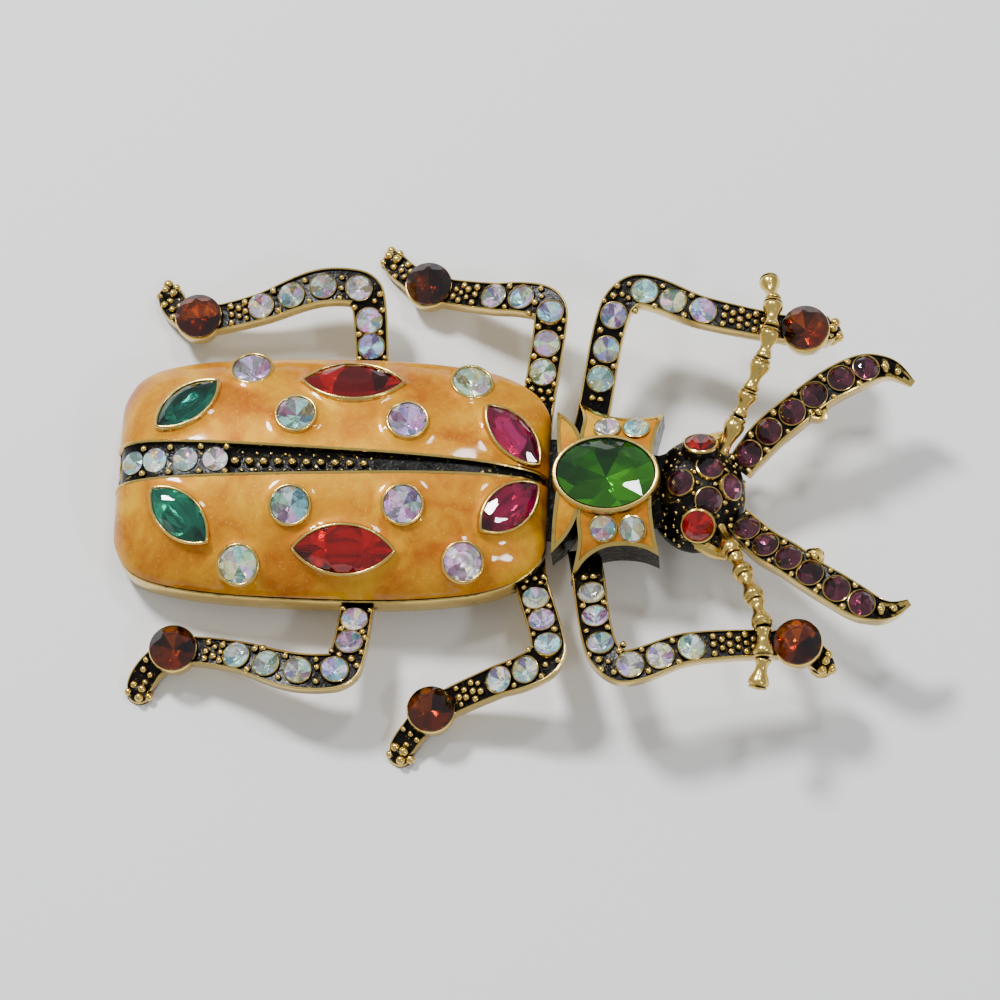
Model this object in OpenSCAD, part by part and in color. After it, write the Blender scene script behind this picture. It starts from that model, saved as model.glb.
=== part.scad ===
// Stag beetle brooch: an antique gold casting with enamelled wings and glass stones.
// It is drawn level, with X = 0 at the collar stone, and then stood on its feet and pin.

/* [Wings] */
// Length of the wing covers, tail to shoulder
wing_l = 43.7; // [40:0.1:48]
// Width across both wing covers
wing_w = 26.2; // [24:0.1:29]
// Height of the gold side wall
wall_h = 2.9; // [2.2:0.1:3.6]
// Height of the enamelled dome above the side wall
dome_h = 5.5; // [4.8:0.1:6.5]
// Thickness of the wing enamel
enamel_t = 0.8; // [0.6:0.05:1]
// Width of the groove between the wings, at the tail
groove_w = 4.1; // [3.6:0.1:4.6]
// Depth of the groove below the gold lips
groove_d = 0.9; // [0.6:0.1:1.2]
// Width of the gold lip along each side of the groove
lip_w = 0.35; // [0.3:0.05:0.6]

/* [Collar and head] */
// Length of the collar plate along the body
collar_l = 11; // [10:0.1:12]
// Width across the collar's longest points
collar_w = 19.6; // [18:0.1:22]
// Height of the collar's side wall at its middle
collar_h = 6.3; // [5.5:0.1:7]
// Radius of the collar plate's arch across the body
collar_r = 12; // [11:0.5:16]
// Thickness of the collar enamel
collar_enamel_t = 0.5; // [0.4:0.05:0.7]
// Width of the gold edge around each cell of collar enamel
collar_edge = 0.4; // [0.3:0.05:0.6]
// Length of the head
head_l = 9.8; // [9:0.1:11]
// Width of the head
head_w = 12; // [11:0.1:13]
// Height of the head above the underside
head_h = 4.4; // [4:0.1:5]

/* [Legs, mandibles and antennae] */
// Reach of a front leg from its hip
front_leg_l = 25; // [22:0.1:27]
// Reach of a middle leg from its hip
middle_leg_l = 22; // [20:0.1:24]
// Reach of a hind leg from its hip
hind_leg_l = 24; // [22:0.1:26]
// Width of a leg
leg_w = 3.3; // [3.1:0.1:3.8]
// Thickness of a leg
leg_t = 2; // [1.8:0.1:2.4]
// Length of a mandible along the body
mandible_l = 17.2; // [15:0.1:19]
// Width of a mandible at its widest
mandible_w = 3.4; // [3.2:0.1:4]
// Thickness of a mandible
mandible_t = 2.3; // [2:0.1:2.8]
// Length of an antenna across the body
antenna_l = 19; // [17:0.1:21]
// Diameter of the knob on each antenna segment
antenna_d = 1.8; // [1.5:0.1:2.2]

/* [Stones] */
// Diameter of the leg crystals
leg_stone_d = 2.6; // [2.2:0.1:2.8]
// Diameter of the mandible and head stones
plum_stone_d = 2.6; // [2.2:0.1:2.8]
// Diameter of the collar and tail crystals
small_stone_d = 2.5; // [2.2:0.1:2.7]
// Diameter of the round wing crystals
wing_stone_d = 3.8; // [3.4:0.1:4.2]
// Diameter of the brown stones on the feet
brown_stone_d = 4.7; // [4.2:0.1:5]
// Diameter of the red eyes
eye_d = 3; // [2.6:0.1:3.4]
// Length of the collar's oval stone
oval_l = 10; // [9:0.1:10.5]
// Width of the collar's oval stone
oval_w = 7.6; // [7:0.1:8]
// Length of the red navettes
red_l = 10; // [9:0.1:10.5]
// Width of the red navettes
red_w = 4.8; // [4.4:0.1:5.2]
// Length of the green and fuchsia navettes
navette_l = 7.7; // [7:0.1:8.4]
// Width of the green and fuchsia navettes
navette_w = 4; // [3.6:0.1:4.4]
// Metal around a main stone
bezel_t = 0.35; // [0.3:0.05:0.5]
// Gap between a stone or enamel and its metal
gap = 0.08; // [0.06:0.01:0.12]

/* [Pin] */
// Length of the pin finding
pin_l = 28; // [26:0.5:30]
// Width of its soldered bar
pin_bar_w = 3.2; // [2.6:0.1:4]
// Thickness of its soldered bar
pin_bar_t = 0.6; // [0.5:0.1:0.8]
// Diameter of the pin stem
pin_d = 0.9; // [0.8:0.1:1.1]
// Length of its hinge block and of its catch
pin_block_l = 3.4; // [3:0.1:4]

/* [Stance] */
// Pitch of the body, head up, when the brooch lies on a surface
stance_pitch = 3.4; // [2.5:0.1:4]

/* [Hidden] */

// Levels and places along the body, in the level frame
shoulder_x = -5.5;
tail_x = shoulder_x - wing_l;
under_z = 3.5;
rim_z = under_z + wall_h;
lift = 0.8;
origin_x = 9.46;
oval_x = 0.4;
collar_top = under_z + collar_h + 0.2;
head_x = oval_x + 9;
head_z = under_z + 0.7;
mandible_base = [head_x + 5.2, 0.35, under_z + 2.4];
antenna_base = [head_x + 2.2, 3.6, under_z + 2];
pin_x = -22.5;

// Tail step of the groove: its depth, and the share of the wing length that it takes
tail_step = 0.3;
tail_part = 0.27;
end_over = 0.03;
// Recess in the back, and the wall left round it
back_d = 3;
back_wall = 1.8;
// Wing settings from below the dome to above it, and the stones' and pockets' levels in them
setting_low = -2.4;
setting_high = 0.55;
stone_z = setting_high - 0.1;
pocket_low = -1.45;
// Cup of a foot stone above its leg
cup_h = 1.1;

// Wing covers from tail to shoulder, as shares: place along the wing, half width, dome height
WING = [
    [0,     0.50, 0.20],
    [0.012, 0.655, 0.42],
    [0.035, 0.775, 0.62],
    [0.075, 0.865, 0.78],
    [0.14,  0.925, 0.90],
    [0.23,  0.965, 0.97],
    [0.36,  0.99, 1.00],
    [0.5,   1.00, 1.00],
    [0.64,  0.995, 0.98],
    [0.76,  0.965, 0.91],
    [0.86,  0.91, 0.78],
    [0.93,  0.82, 0.58],
    [0.975, 0.70, 0.36],
    [1,     0.48, 0.14]
];
// Places across a half wing where the dome is sampled, from the groove to the edge
ACROSS = [0.14, 0.4, 0.62, 0.79, 0.9, 0.965, 1];
// Powers that round the dome across the body
dome_p = 2.3;
dome_q = 0.62;

// Wing stones: place along the wing, place across the half wing, turn in degrees
GREEN = [0.166, 0.48, 44];
RED = [0.545, 0.677, 0];
FUCHSIA = [0.915, 0.345, -45];
WING_ROUNDS = [[0.305, 0.81, 0], [0.420, 0.372, 0], [0.677, 0.345, 0], [0.816, 0.775, 0]];

// Tail crystals and groove beads, as shares of the wing length from the tail
TAIL_CRYSTALS = [0.033, 0.092, 0.165, 0.234];
BEADS = [for (i = [0:9]) 0.285 + 0.033 * i];

// Collar plate, as shares of its length and half width, from the oval's tail side round to the neck
PLATE = [
    [-0.25, 0], [-0.25, 0.48], [-0.235, 0.68], [-0.30, 1], [-0.17, 0.83], [-0.01, 0.73],
    [0.18, 0.70], [0.36, 0.72], [0.50, 0.78], [0.455, 0.56], [0.425, 0.34], [0.42, 0]
];
// Collar lobe beside the wing, in the same shares
LOBE = [
    [-0.42, 0], [-0.445, 0.22], [-0.47, 0.50], [-0.48, 0.78], [-0.35, 0.64], [-0.26, 0.47], [-0.2, 0.2]
];
// Collar crystals: place along and across, in the same shares
COLLAR_CRYSTALS = [[-0.01, 0.55], [0.255, 0.55]];

// Head stones: along, outwards, tilt forwards
HEAD_STONES = [[-1.5, 0, -18], [1.25, 1.75, 14], [1.25, -1.75, 14], [3.45, 0, 46]];

// Legs from hip to toe, as shares of the leg's reach: along the body, outwards, upwards, width
FRONT_LEG = [
    [-0.02, -0.10, -0.03, 1], [0, 0, 0, 1], [0.078, 0.385, 0.15, 1], [0.172, 0.465, 0.168, 1.05],
    [0.43, 0.378, 0.168, 0.95], [0.85, 0.33, 0.09, 0.8], [0.93, 0.36, 0.035, 0.8],
    [0.98, 0.4, -0.02, 0.5]
];
MIDDLE_LEG_LEFT = [
    [-0.01, -0.12, -0.03, 1], [0, 0, 0, 1], [0.05, 0.4, 0.135, 1.05], [0.01, 0.46, 0.125, 1.1],
    [-0.1, 0.497, 0.09, 1.05], [-0.24, 0.523, 0.032, 0.95], [-0.545, 0.62, -0.1, 0.85],
    [-0.655, 0.7, -0.14, 0.8], [-0.725, 0.775, -0.165, 0.75], [-0.735, 0.82, -0.175, 0.4]
];
MIDDLE_LEG_RIGHT = [
    [-0.01, -0.12, -0.03, 1], [0, 0, 0, 1], [0.11, 0.39, 0.135, 1.05], [0.075, 0.455, 0.125, 1.1],
    [-0.02, 0.497, 0.09, 1.05], [-0.14, 0.523, 0.032, 0.95], [-0.425, 0.63, -0.1, 0.85],
    [-0.505, 0.71, -0.14, 0.8], [-0.56, 0.79, -0.165, 0.75], [-0.57, 0.83, -0.175, 0.4]
];
HIND_LEG = [
    [0.01, -0.10, -0.03, 1], [0, 0, 0, 1], [-0.035, 0.3, 0.075, 1.1], [-0.085, 0.335, 0.085, 1.15],
    [-0.25, 0.333, 0.08, 1.15], [-0.51, 0.252, 0.025, 0.92], [-0.765, 0.22, -0.04, 0.85],
    [-0.86, 0.275, -0.085, 0.85], [-0.91, 0.355, -0.11, 0.8], [-0.915, 0.4, -0.12, 0.45]
];
// Crystals along a leg, as shares of its length from hip to toe
FRONT_CRYSTALS = [0.153, 0.233, 0.325, 0.439, 0.519, 0.603];
MIDDLE_CRYSTALS = [0.177, 0.264, 0.362, 0.48, 0.575];
HIND_CRYSTALS = [0.133, 0.21, 0.319, 0.427, 0.526, 0.623];

// Mandible from the head to its tip, as shares of its length: along, outwards, upwards, width.
// Each row from the second to the seventh also carries a stone.
MANDIBLE = [
    [-0.07, 0.13, -0.03, 0.8], [0, 0.215, 0.005, 0.92], [0.113, 0.335, 0.06, 1], [0.247, 0.435, 0.12, 1],
    [0.372, 0.535, 0.15, 0.97], [0.525, 0.635, 0.17, 1], [0.67, 0.712, 0.15, 0.95],
    [0.78, 0.735, 0.12, 0.7], [0.855, 0.72, 0.09, 0.5], [0.95, 0.66, 0.045, 0.2]
];
// Antenna joints from the head to the tip, as shares of its length: along, outwards, upwards
ANTENNA = [
    [0, 0, 0], [0.1, 0.21, 0.1], [0.155, 0.34, 0.155], [0.22, 0.5, 0.215], [0.26, 0.66, 0.26],
    [0.265, 0.82, 0.24], [0.235, 0.975, 0.19]
];

// Stone proportions, as shares of the stone's width
crown_share = 0.16;
small_crown_share = 0.2;
table_share = 0.55;
pavilion_share = 0.36;
seat = 0.1;

function column(table, n) = [for (row = table) [row[0], row[n]]];
function half_w(s) = wing_w / 2 * lookup(s, column(WING, 1));
function dome_share(s) = lookup(s, column(WING, 2));
function wing_x(s) = tail_x + s * wing_l;
function arch(u) = pow(1 - pow(min(abs(u), 1), dome_p), dome_q);
function dome_z(x, y) =
    let (s = (x - tail_x) / wing_l)
    rim_z + dome_h * dome_share(s) * arch(y / half_w(s));
function slope_x(x, y) = (dome_z(x + 0.3, y) - dome_z(x - 0.3, y)) / 0.6;
function slope_y(x, y) = (dome_z(x, y + 0.3) - dome_z(x, y - 0.3)) / 0.6;
function groove_half(s) = groove_w / 2 * (1 - 0.87 * s);
function floor_z(x) = -(lift + x * sin(stance_pitch)) / cos(stance_pitch);

function unit(v) = v / norm(v);
function flat(v) = [v[0], v[1], 0];
function step(path, i) = unit(path[i + 1] - path[i]);
function heading(path, i) =
    i == 0 ? step(path, 0) :
    i == len(path) - 1 ? step(path, i - 1) :
    unit(step(path, i - 1) + step(path, i));
function mitre(path, i) =
    i == 0 || i == len(path) - 1
        ? 1
        : 1 / max(0.6, unit(flat(step(path, i))) * unit(flat(heading(path, i))));
function path_l(path, n) = n == 0 ? 0 : norm(path[n] - path[n - 1]) + path_l(path, n - 1);
function at(path, d, i = 1) =
    d <= norm(path[i] - path[i - 1]) || i == len(path) - 1
        ? [path[i - 1] + step(path, i - 1) * d, step(path, i - 1)]
        : at(path, d - norm(path[i] - path[i - 1]), i + 1);
function place(hip, table, reach) = [for (row = table) hip + reach * [row[0], row[1], row[2]]];

function hip_z(d) = under_z + d;
front_hip = [-1.3, 8.6, hip_z(2)];
function wing_hip(s, z) = [wing_x(s), half_w(s) - 0.3, z];
function leg_path(name) =
    name == "front" ? place(front_hip, FRONT_LEG, front_leg_l) :
    name == "middle" ? place(wing_hip(0.965, hip_z(1.6)), MIDDLE_LEG_LEFT, middle_leg_l) :
    name == "middle_right" ? place(wing_hip(0.965, hip_z(1.6)), MIDDLE_LEG_RIGHT, middle_leg_l) :
    place(wing_hip(0.575, hip_z(2.2)), HIND_LEG, hind_leg_l);

// Lays an object's own Z along the wing's outward direction at a place on the dome
module on_wing(place, side) {
    x = wing_x(place[0]);
    y = side * place[1] * half_w(place[0]);
    b = -atan(slope_x(x, y));
    translate([x, y, dome_z(x, y)])
        rotate([atan(slope_y(x, y) * cos(b)), b, 0])
            rotate(side * place[2]) children();
}

module round_outline(d, n = 12) circle(d = d, $fn = n);

module navette_outline(l, w, n = 5) {
    r = (l * l + w * w) / (4 * w);
    a = asin(l / 2 / r);
    polygon(concat(
        [for (i = [0:n - 1]) r * [sin(-a + 2 * a * i / n), cos(-a + 2 * a * i / n)] - [0, r - w / 2]],
        [for (i = [0:n - 1]) -(r * [sin(-a + 2 * a * i / n), cos(-a + 2 * a * i / n)] - [0, r - w / 2])]
    ));
}

// Stone of any outline: a flat table, a crown, and a pavilion that ends in a point
function oval_points(l, w, n) = [for (i = [0:n - 1]) [l / 2 * cos(360 * i / n), w / 2 * sin(360 * i / n)]];
function navette_points(l, w, n) =
    let (r = (l * l + w * w) / (4 * w), a = asin(l / 2 / r))
    concat(
        [for (i = [0:n - 1]) let (t = a - 2 * a * i / n) [r * sin(t), r * cos(t) - r + w / 2]],
        [for (i = [0:n - 1]) let (t = a - 2 * a * i / n) -[r * sin(t), r * cos(t) - r + w / 2]]
    );
module stone(points, w, crown) {
    n = len(points);
    girdle = [for (p = points) [p[0], p[1], 0]];
    table = [for (p = points) [table_share * p[0], table_share * p[1], crown * w]];
    polyhedron(concat(girdle, table, [[0, 0, -pavilion_share * w]]), concat(
        [for (i = [0:n - 1]) [i, n + i, n + (i + 1) % n, (i + 1) % n]],
        [for (i = [0:n - 1]) [2 * n, i, (i + 1) % n]],
        [[for (i = [n - 1:-1:0]) n + i]]
    ));
}
module small_stone(d) translate([0, 0, seat]) stone(oval_points(d, d, 8), d, small_crown_share);
module pocket(d) translate([0, 0, -pavilion_share * d]) cylinder(d = d + 2 * gap, h = 2 * d, $fn = 8);

// Smooth ribbon that follows a path along its top face
module ribbon(path, widths, t) {
    form = [[-1, 0], [-1, -0.7], [-0.75, -1], [0.75, -1], [1, -0.7], [1, 0]];
    n = len(form);
    points = [for (i = [0:len(path) - 1])
        let (h = heading(path, i), side = unit(cross([0, 0, 1], h)), up = cross(h, side))
        for (f = form) path[i] + side * f[0] * widths[i] / 2 * mitre(path, i) + up * f[1] * t];
    faces = [for (k = [0:len(path) - 2]) for (i = [0:n - 1])
        [k * n + i, (k + 1) * n + i, (k + 1) * n + (i + 1) % n, k * n + (i + 1) % n]];
    polyhedron(points, concat(
        faces,
        [[for (i = [0:n - 1]) i]],
        [[for (i = [n - 1:-1:0]) (len(path) - 1) * n + i]]
    ));
}

// Turns an object's Z to a ribbon's own upward direction at a place along it
module on_path(path, d) {
    spot = at(path, d);
    h = spot[1];
    translate(spot[0]) rotate([0, 0, atan2(h[1], h[0])]) rotate([0, -asin(h[2]), 0]) children();
}

// Solid under the dome, drawn in by an inset on all sides
module dome(inset = 0) {
    sides = concat([for (i = [len(ACROSS) - 1:-1:0]) -ACROSS[i]], ACROSS);
    m = len(sides) + 2;
    base = rim_z - 0.6;
    points = [for (row = WING)
        let (
            x = tail_x + inset + row[0] * (wing_l - 2 * inset),
            w = wing_w / 2 * row[1] - inset,
            h = (dome_h - inset) * row[2]
        )
        for (j = [0:m - 1])
            j == 0 ? [x, -w, base] :
            j == m - 1 ? [x, w, base] :
            [x, w * sides[j - 1], rim_z + h * arch(sides[j - 1])]];
    faces = [for (k = [0:len(WING) - 2]) for (j = [0:m - 1])
        [k * m + j, k * m + (j + 1) % m, (k + 1) * m + (j + 1) % m, (k + 1) * m + j]];
    polyhedron(points, concat(
        faces,
        [[for (j = [m - 1:-1:0]) j]],
        [[for (j = [0:m - 1]) (len(WING) - 1) * m + j]]
    ), convexity = 4);
}

module wing_outline(inset = 0) {
    offset(delta = -inset) polygon(concat(
        [for (row = WING) [wing_x(row[0]), wing_w / 2 * row[1]]],
        [for (i = [len(WING) - 1:-1:0]) [wing_x(WING[i][0]), -wing_w / 2 * WING[i][1]]]
    ));
}

// Plan of the groove, widened by an amount on each side
module groove_plan(extra = 0) {
    polygon([
        [tail_x - 1, groove_half(0) + extra], [tail_x - 1, -groove_half(0) - extra],
        [shoulder_x + 1, -groove_half(1) - extra], [shoulder_x + 1, groove_half(1) + extra]
    ]);
}

module in_groove(s, depth) {
    x = wing_x(s);
    translate([x, 0, dome_z(x, 0) - depth]) rotate([0, -atan(slope_x(x, 0)), 0]) children();
}

// Wing settings: their outlines stand on the dome, and the enamel leaves them clear
module wing_settings(side, grow, low, high) {
    on_wing(GREEN, side) translate([0, 0, low]) linear_extrude(high - low)
        navette_outline(navette_l + 2 * grow, navette_w + 2 * grow);
    on_wing(RED, side) translate([0, 0, low]) linear_extrude(high - low)
        navette_outline(red_l + 2 * grow, red_w + 2 * grow);
    on_wing(FUCHSIA, side) translate([0, 0, low]) linear_extrude(high - low)
        navette_outline(navette_l + 2 * grow, navette_w + 2 * grow);
    for (p = WING_ROUNDS) on_wing(p, side) translate([0, 0, low]) linear_extrude(high - low)
        round_outline(wing_stone_d + 2 * grow);
}

module body_shell() {
    difference() {
        union() {
            translate([0, 0, under_z]) linear_extrude(wall_h) wing_outline();
            dome(enamel_t);
            intersection() {
                dome(-end_over);
                linear_extrude(rim_z + dome_h + 1) groove_plan(lip_w);
            }
            for (side = [-1, 1]) wing_settings(side, bezel_t, setting_low, setting_high);
        }
        difference() {
            translate([0, 0, rim_z - 1]) linear_extrude(dome_h + 3) groove_plan();
            translate([0, 0, -groove_d]) dome(-2 * end_over);
            intersection() {
                translate([0, 0, -tail_step]) dome(-2 * end_over);
                translate([tail_x - 1, -groove_w, 0]) cube([tail_part * wing_l + 1, 2 * groove_w, 30]);
            }
        }
        for (s = TAIL_CRYSTALS) in_groove(s, tail_step) pocket(small_stone_d);
        for (side = [-1, 1]) wing_settings(side, gap, pocket_low, setting_high + 1);
        translate([0, 0, under_z - 1]) linear_extrude(1 + back_d) back_recess();
    }
    for (s = BEADS) in_groove(s, groove_d) sphere(r = groove_half(s) * 0.5, $fn = 6);
}

module back_recess() {
    difference() {
        wing_outline(back_wall);
        translate([tail_x, -pin_bar_w / 2 - 0.6]) square([wing_l, pin_bar_w + 1.2]);
        translate([wing_x(0.575) - 3, -wing_w]) square([5, 2 * wing_w]);
        translate([wing_x(0.9), -wing_w]) square([wing_l, 2 * wing_w]);
    }
}

function collar_point(p, side) = [p[0] * collar_l + oval_x, side * p[1] * collar_w / 2];

module plate_plan(side) polygon([for (p = PLATE) collar_point(p, side)]);
module lobe_plan(side) polygon([for (p = LOBE) collar_point(p, side)]);

module arched(depth, low) {
    intersection() {
        translate([0, 0, low]) linear_extrude(collar_h + 3) children();
        translate([-collar_l, 0, collar_top - collar_r]) rotate([0, 90, 0])
            cylinder(r = collar_r - depth, h = 2 * collar_l, $fn = 36);
    }
}

// Cells of the collar, deep in the plate and open above; the enamel is drawn in by the clearance
module collar_cells(side, clear, top) {
    difference() {
        arched(-top, under_z + 2) {
            offset(delta = -collar_edge - clear) plate_plan(side);
            offset(delta = -collar_edge - clear) lobe_plan(side);
        }
        arched(collar_enamel_t - clear, under_z + 1) square([30, 30], center = true);
        translate([oval_x, 0, under_z]) linear_extrude(10) oval_outline(bezel_t + clear);
    }
}
module oval_outline(extra) scale([oval_l + 2 * extra, oval_w + 2 * extra]) circle(d = 1, $fn = 16);

module collar_block() {
    difference() {
        union() {
            for (side = [-1, 1]) arched(0, under_z) {
                plate_plan(side);
                lobe_plan(side);
            }
            translate([oval_x, 0, under_z + 2]) linear_extrude(collar_h - 1.7) oval_outline(bezel_t);
        }
        for (side = [-1, 1]) collar_cells(side, 0, 1);
        for (side = [-1, 1]) on_collar(side) pocket(small_stone_d);
        translate([oval_x, 0, collar_top - pavilion_share * oval_w - 0.1]) linear_extrude(10)
            oval_outline(gap);
    }
    translate([shoulder_x - 3, -5, under_z]) cube([5, 10, wall_h - 0.1]);
}

module on_collar(side) {
    for (p = COLLAR_CRYSTALS) {
        spot = collar_point(p, side);
        tilt = asin(spot[1] / collar_r);
        translate([spot[0], spot[1], collar_top - collar_r * (1 - cos(tilt))])
            rotate([-tilt, 0, 0]) children();
    }
}

function head_top(x, y) =
    head_z + (head_h - 0.7) * sqrt(max(0, 1 - pow(x / (head_l / 2), 2) - pow(y / (head_w / 2), 2)));

module on_head() {
    for (p = HEAD_STONES) translate([head_x + p[0], p[1], head_top(p[0], p[1])])
        rotate([-p[1] * 9, p[2], 0]) children();
}

module on_eye(side) {
    translate([head_x + 0.3, side * 4.3, head_z + 3.1]) rotate([-side * 38, 0, 0]) children();
}

module head_block() {
    difference() {
        union() {
            translate([head_x, 0, head_z]) scale([head_l / 2, head_w / 2, head_h - 0.7])
                sphere(r = 1, $fn = 16);
            hull() {
                translate([head_x - head_l / 2, -3.6, under_z + 0.3]) cube([1, 7.2, 2.6]);
                translate([head_x - head_l / 2 + 2.5, -4.6, under_z + 0.3]) cube([1, 9.2, 2]);
            }
            for (side = [-1, 1]) on_eye(side) translate([0, 0, -2.6])
                cylinder(d = eye_d + 2 * bezel_t, h = 3.2, $fn = 12);
            on_head() translate([0, 0, -1.4]) cylinder(d = plum_stone_d + 0.6, h = 1.6, $fn = 8);
            for (side = [-1, 1]) hull() {
                translate([head_x, side * 5.2, under_z + 1.2]) sphere(d = 1, $fn = 6);
                translate([head_x + 3.2, side * 6.5, under_z + 1]) sphere(d = 0.9, $fn = 6);
            }
        }
        translate([0, -head_w, under_z - 5]) cube([30, 2 * head_w, 5]);
        for (side = [-1, 1]) on_eye(side) translate([0, 0, -0.75])
            cylinder(d = eye_d + 2 * gap, h = 4, $fn = 12);
        on_head() translate([0, 0, 0.1]) pocket(plum_stone_d);
    }
}

function mandible_path() = place(mandible_base, MANDIBLE, mandible_l);

module mandible() {
    path = mandible_path();
    difference() {
        union() {
            ribbon(path, [for (row = MANDIBLE) row[3] * mandible_w], mandible_t);
            hull() {
                translate(path[4] + [0.9, -1.5, -1.4]) cylinder(r = 0.7, h = 1.3, $fn = 8);
                translate(path[4] + [1.5, -2.2, -1.4]) cylinder(r = 0.35, h = 1.3, $fn = 8);
                translate(path[4] + [-0.4, -0.4, -1.6]) cylinder(r = 0.9, h = 1.5, $fn = 8);
            }
        }
        on_mandible() pocket(plum_stone_d);
    }
    for (i = [7, 8]) translate(path[i]) sphere(r = 0.5, $fn = 6);
}

module on_mandible() {
    path = mandible_path();
    for (i = [1:6]) {
        h = heading(path, i);
        translate(path[i]) rotate([0, 0, atan2(h[1], h[0])]) rotate([0, -asin(h[2]), 0]) children();
    }
}

module antenna() {
    joints = place(antenna_base, ANTENNA, antenna_l);
    for (i = [0:len(joints) - 2]) hull() {
        translate(joints[i]) sphere(d = antenna_d * 0.55, $fn = 6);
        translate(joints[i] + 0.72 * (joints[i + 1] - joints[i])) sphere(d = antenna_d * 0.6, $fn = 6);
        translate(joints[i] + 0.86 * (joints[i + 1] - joints[i])) sphere(d = antenna_d, $fn = 8);
    }
}

function leg_table(name) =
    name == "front" ? FRONT_LEG :
    name == "middle" ? MIDDLE_LEG_LEFT :
    name == "middle_right" ? MIDDLE_LEG_RIGHT : HIND_LEG;
function leg_crystals(name) =
    name == "front" ? FRONT_CRYSTALS :
    name == "hind" ? HIND_CRYSTALS : MIDDLE_CRYSTALS;
function ankle_row(name) = name == "front" ? 5 : 6;
function ankle(name) = leg_path(name)[ankle_row(name)];

module leg(name) {
    path = leg_path(name);
    difference() {
        union() {
            ribbon(path, [for (row = leg_table(name)) row[3] * leg_w], leg_t);
            translate(ankle(name) - [0, 0, leg_t * 0.8])
                cylinder(d = brown_stone_d + 2 * bezel_t, h = leg_t * 0.8 + cup_h, $fn = 12);
        }
        on_leg(name) pocket(leg_stone_d);
        translate(ankle(name) + [0, 0, cup_h - 0.2 - pavilion_share * brown_stone_d])
            cylinder(d = brown_stone_d + 2 * gap, h = 5, $fn = 12);
    }
}

module on_leg(name) {
    path = leg_path(name);
    l = path_l(path, len(path) - 1);
    for (s = leg_crystals(name)) on_path(path, s * l) children();
}

module stand() {
    translate([origin_x, 0, lift]) rotate([0, -stance_pitch, 0]) children();
}
module sided(side) {
    if (side > 0) children();
    else mirror([0, 1, 0]) children();
}

module floor_slab() translate([-wing_l, -wing_l, -8]) cube([2 * wing_l, 2 * wing_l, 8]);

// The toes of the middle and hind legs are cut flat where they stand
module casting() {
    color("#b79a5b") difference() {
        stand() {
            body_shell();
            collar_block();
            head_block();
            for (side = [-1, 1]) sided(side) {
                mandible();
                antenna();
                leg("front");
                leg(side > 0 ? "middle" : "middle_right");
                leg("hind");
            }
        }
        floor_slab();
    }
}

module wing_enamel(side) {
    color("#eda338") stand() difference() {
        intersection() {
            dome();
            translate([tail_x - 1, side > 0 ? 0 : -wing_w, rim_z + gap])
                cube([wing_l + 2, wing_w, dome_h + 2]);
        }
        dome(enamel_t - 1.6 * gap);
        linear_extrude(rim_z + dome_h + 1) groove_plan(lip_w + gap);
        wing_settings(side, bezel_t + gap, -2, 2);
    }
}

module collar_enamel(side) {
    color("#e8a23a") stand() difference() {
        collar_cells(side, gap, 0);
        on_collar(side) pocket(small_stone_d);
    }
}

// Pin finding under the body: bar, hinge block, catch and the round stem between them. Both blocks
// are cut flat at the floor, and the hinge block carries the head end.
module pin_back() {
    top = under_z - 0.1;
    tail_end = pin_x - pin_l / 2;
    color("#c9b27a") {
        difference() {
            stand() {
                translate([tail_end, -pin_bar_w / 2, top - pin_bar_t]) cube([pin_l, pin_bar_w, pin_bar_t]);
                for (x = [tail_end, tail_end + pin_l - pin_block_l])
                    translate([x, -pin_bar_w / 2, top - 6]) cube([pin_block_l, pin_bar_w, 6]);
            }
            floor_slab();
        }
        translate([origin_x + tail_end + 1.5, 0, pin_d / 2 + 0.2]) rotate([0, 90, 0])
            cylinder(d = pin_d, h = pin_l - 3, $fn = 24);
    }
}

module navette(place, side, l, w) {
    stand() on_wing(place, side) translate([0, 0, stone_z]) stone(navette_points(l, w, 5), w, crown_share);
}
module green_navette(side) color("#0f8a72") navette(GREEN, side, navette_l, navette_w);
module red_navette(side) color("#c01010") navette(RED, side, red_l, red_w);
module fuchsia_navette(side) color("#c2185b") navette(FUCHSIA, side, navette_l, navette_w);

module wing_crystal(i, side) {
    color("#dfe8f4") stand() on_wing(WING_ROUNDS[i - 1], side) translate([0, 0, stone_z])
        stone(oval_points(wing_stone_d, wing_stone_d, 12), wing_stone_d, crown_share);
}

module collar_oval() {
    color("#1f8a1f") stand() translate([oval_x, 0, collar_top])
        stone(oval_points(oval_l, oval_w, 16), oval_w, crown_share);
}
module collar_crystals() {
    color("#e4e0ee") stand() for (side = [-1, 1]) on_collar(side) small_stone(small_stone_d);
}
module tail_crystals() {
    color("#e4e0ee") stand() for (s = TAIL_CRYSTALS) in_groove(s, tail_step) small_stone(small_stone_d);
}

module eye(side) {
    color("#d01818") stand() on_eye(side) translate([0, 0, 0.5])
        stone(oval_points(eye_d, eye_d, 12), eye_d, crown_share);
}
module head_stones() {
    color("#6b2440") stand() on_head() translate([0, 0, 0.1]) small_stone(plum_stone_d);
}
module mandible_stones(side) {
    color("#6b2440") stand() sided(side) on_mandible() small_stone(plum_stone_d);
}

module brown(name, side) {
    color("#5a2412") stand() sided(side) translate(ankle(name) + [0, 0, cup_h - 0.1])
        stone(oval_points(brown_stone_d, brown_stone_d, 12), brown_stone_d, crown_share);
}
module crystals_of(name, side) {
    color("#e4e0ee") stand() sided(side) on_leg(name) small_stone(leg_stone_d);
}

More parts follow.
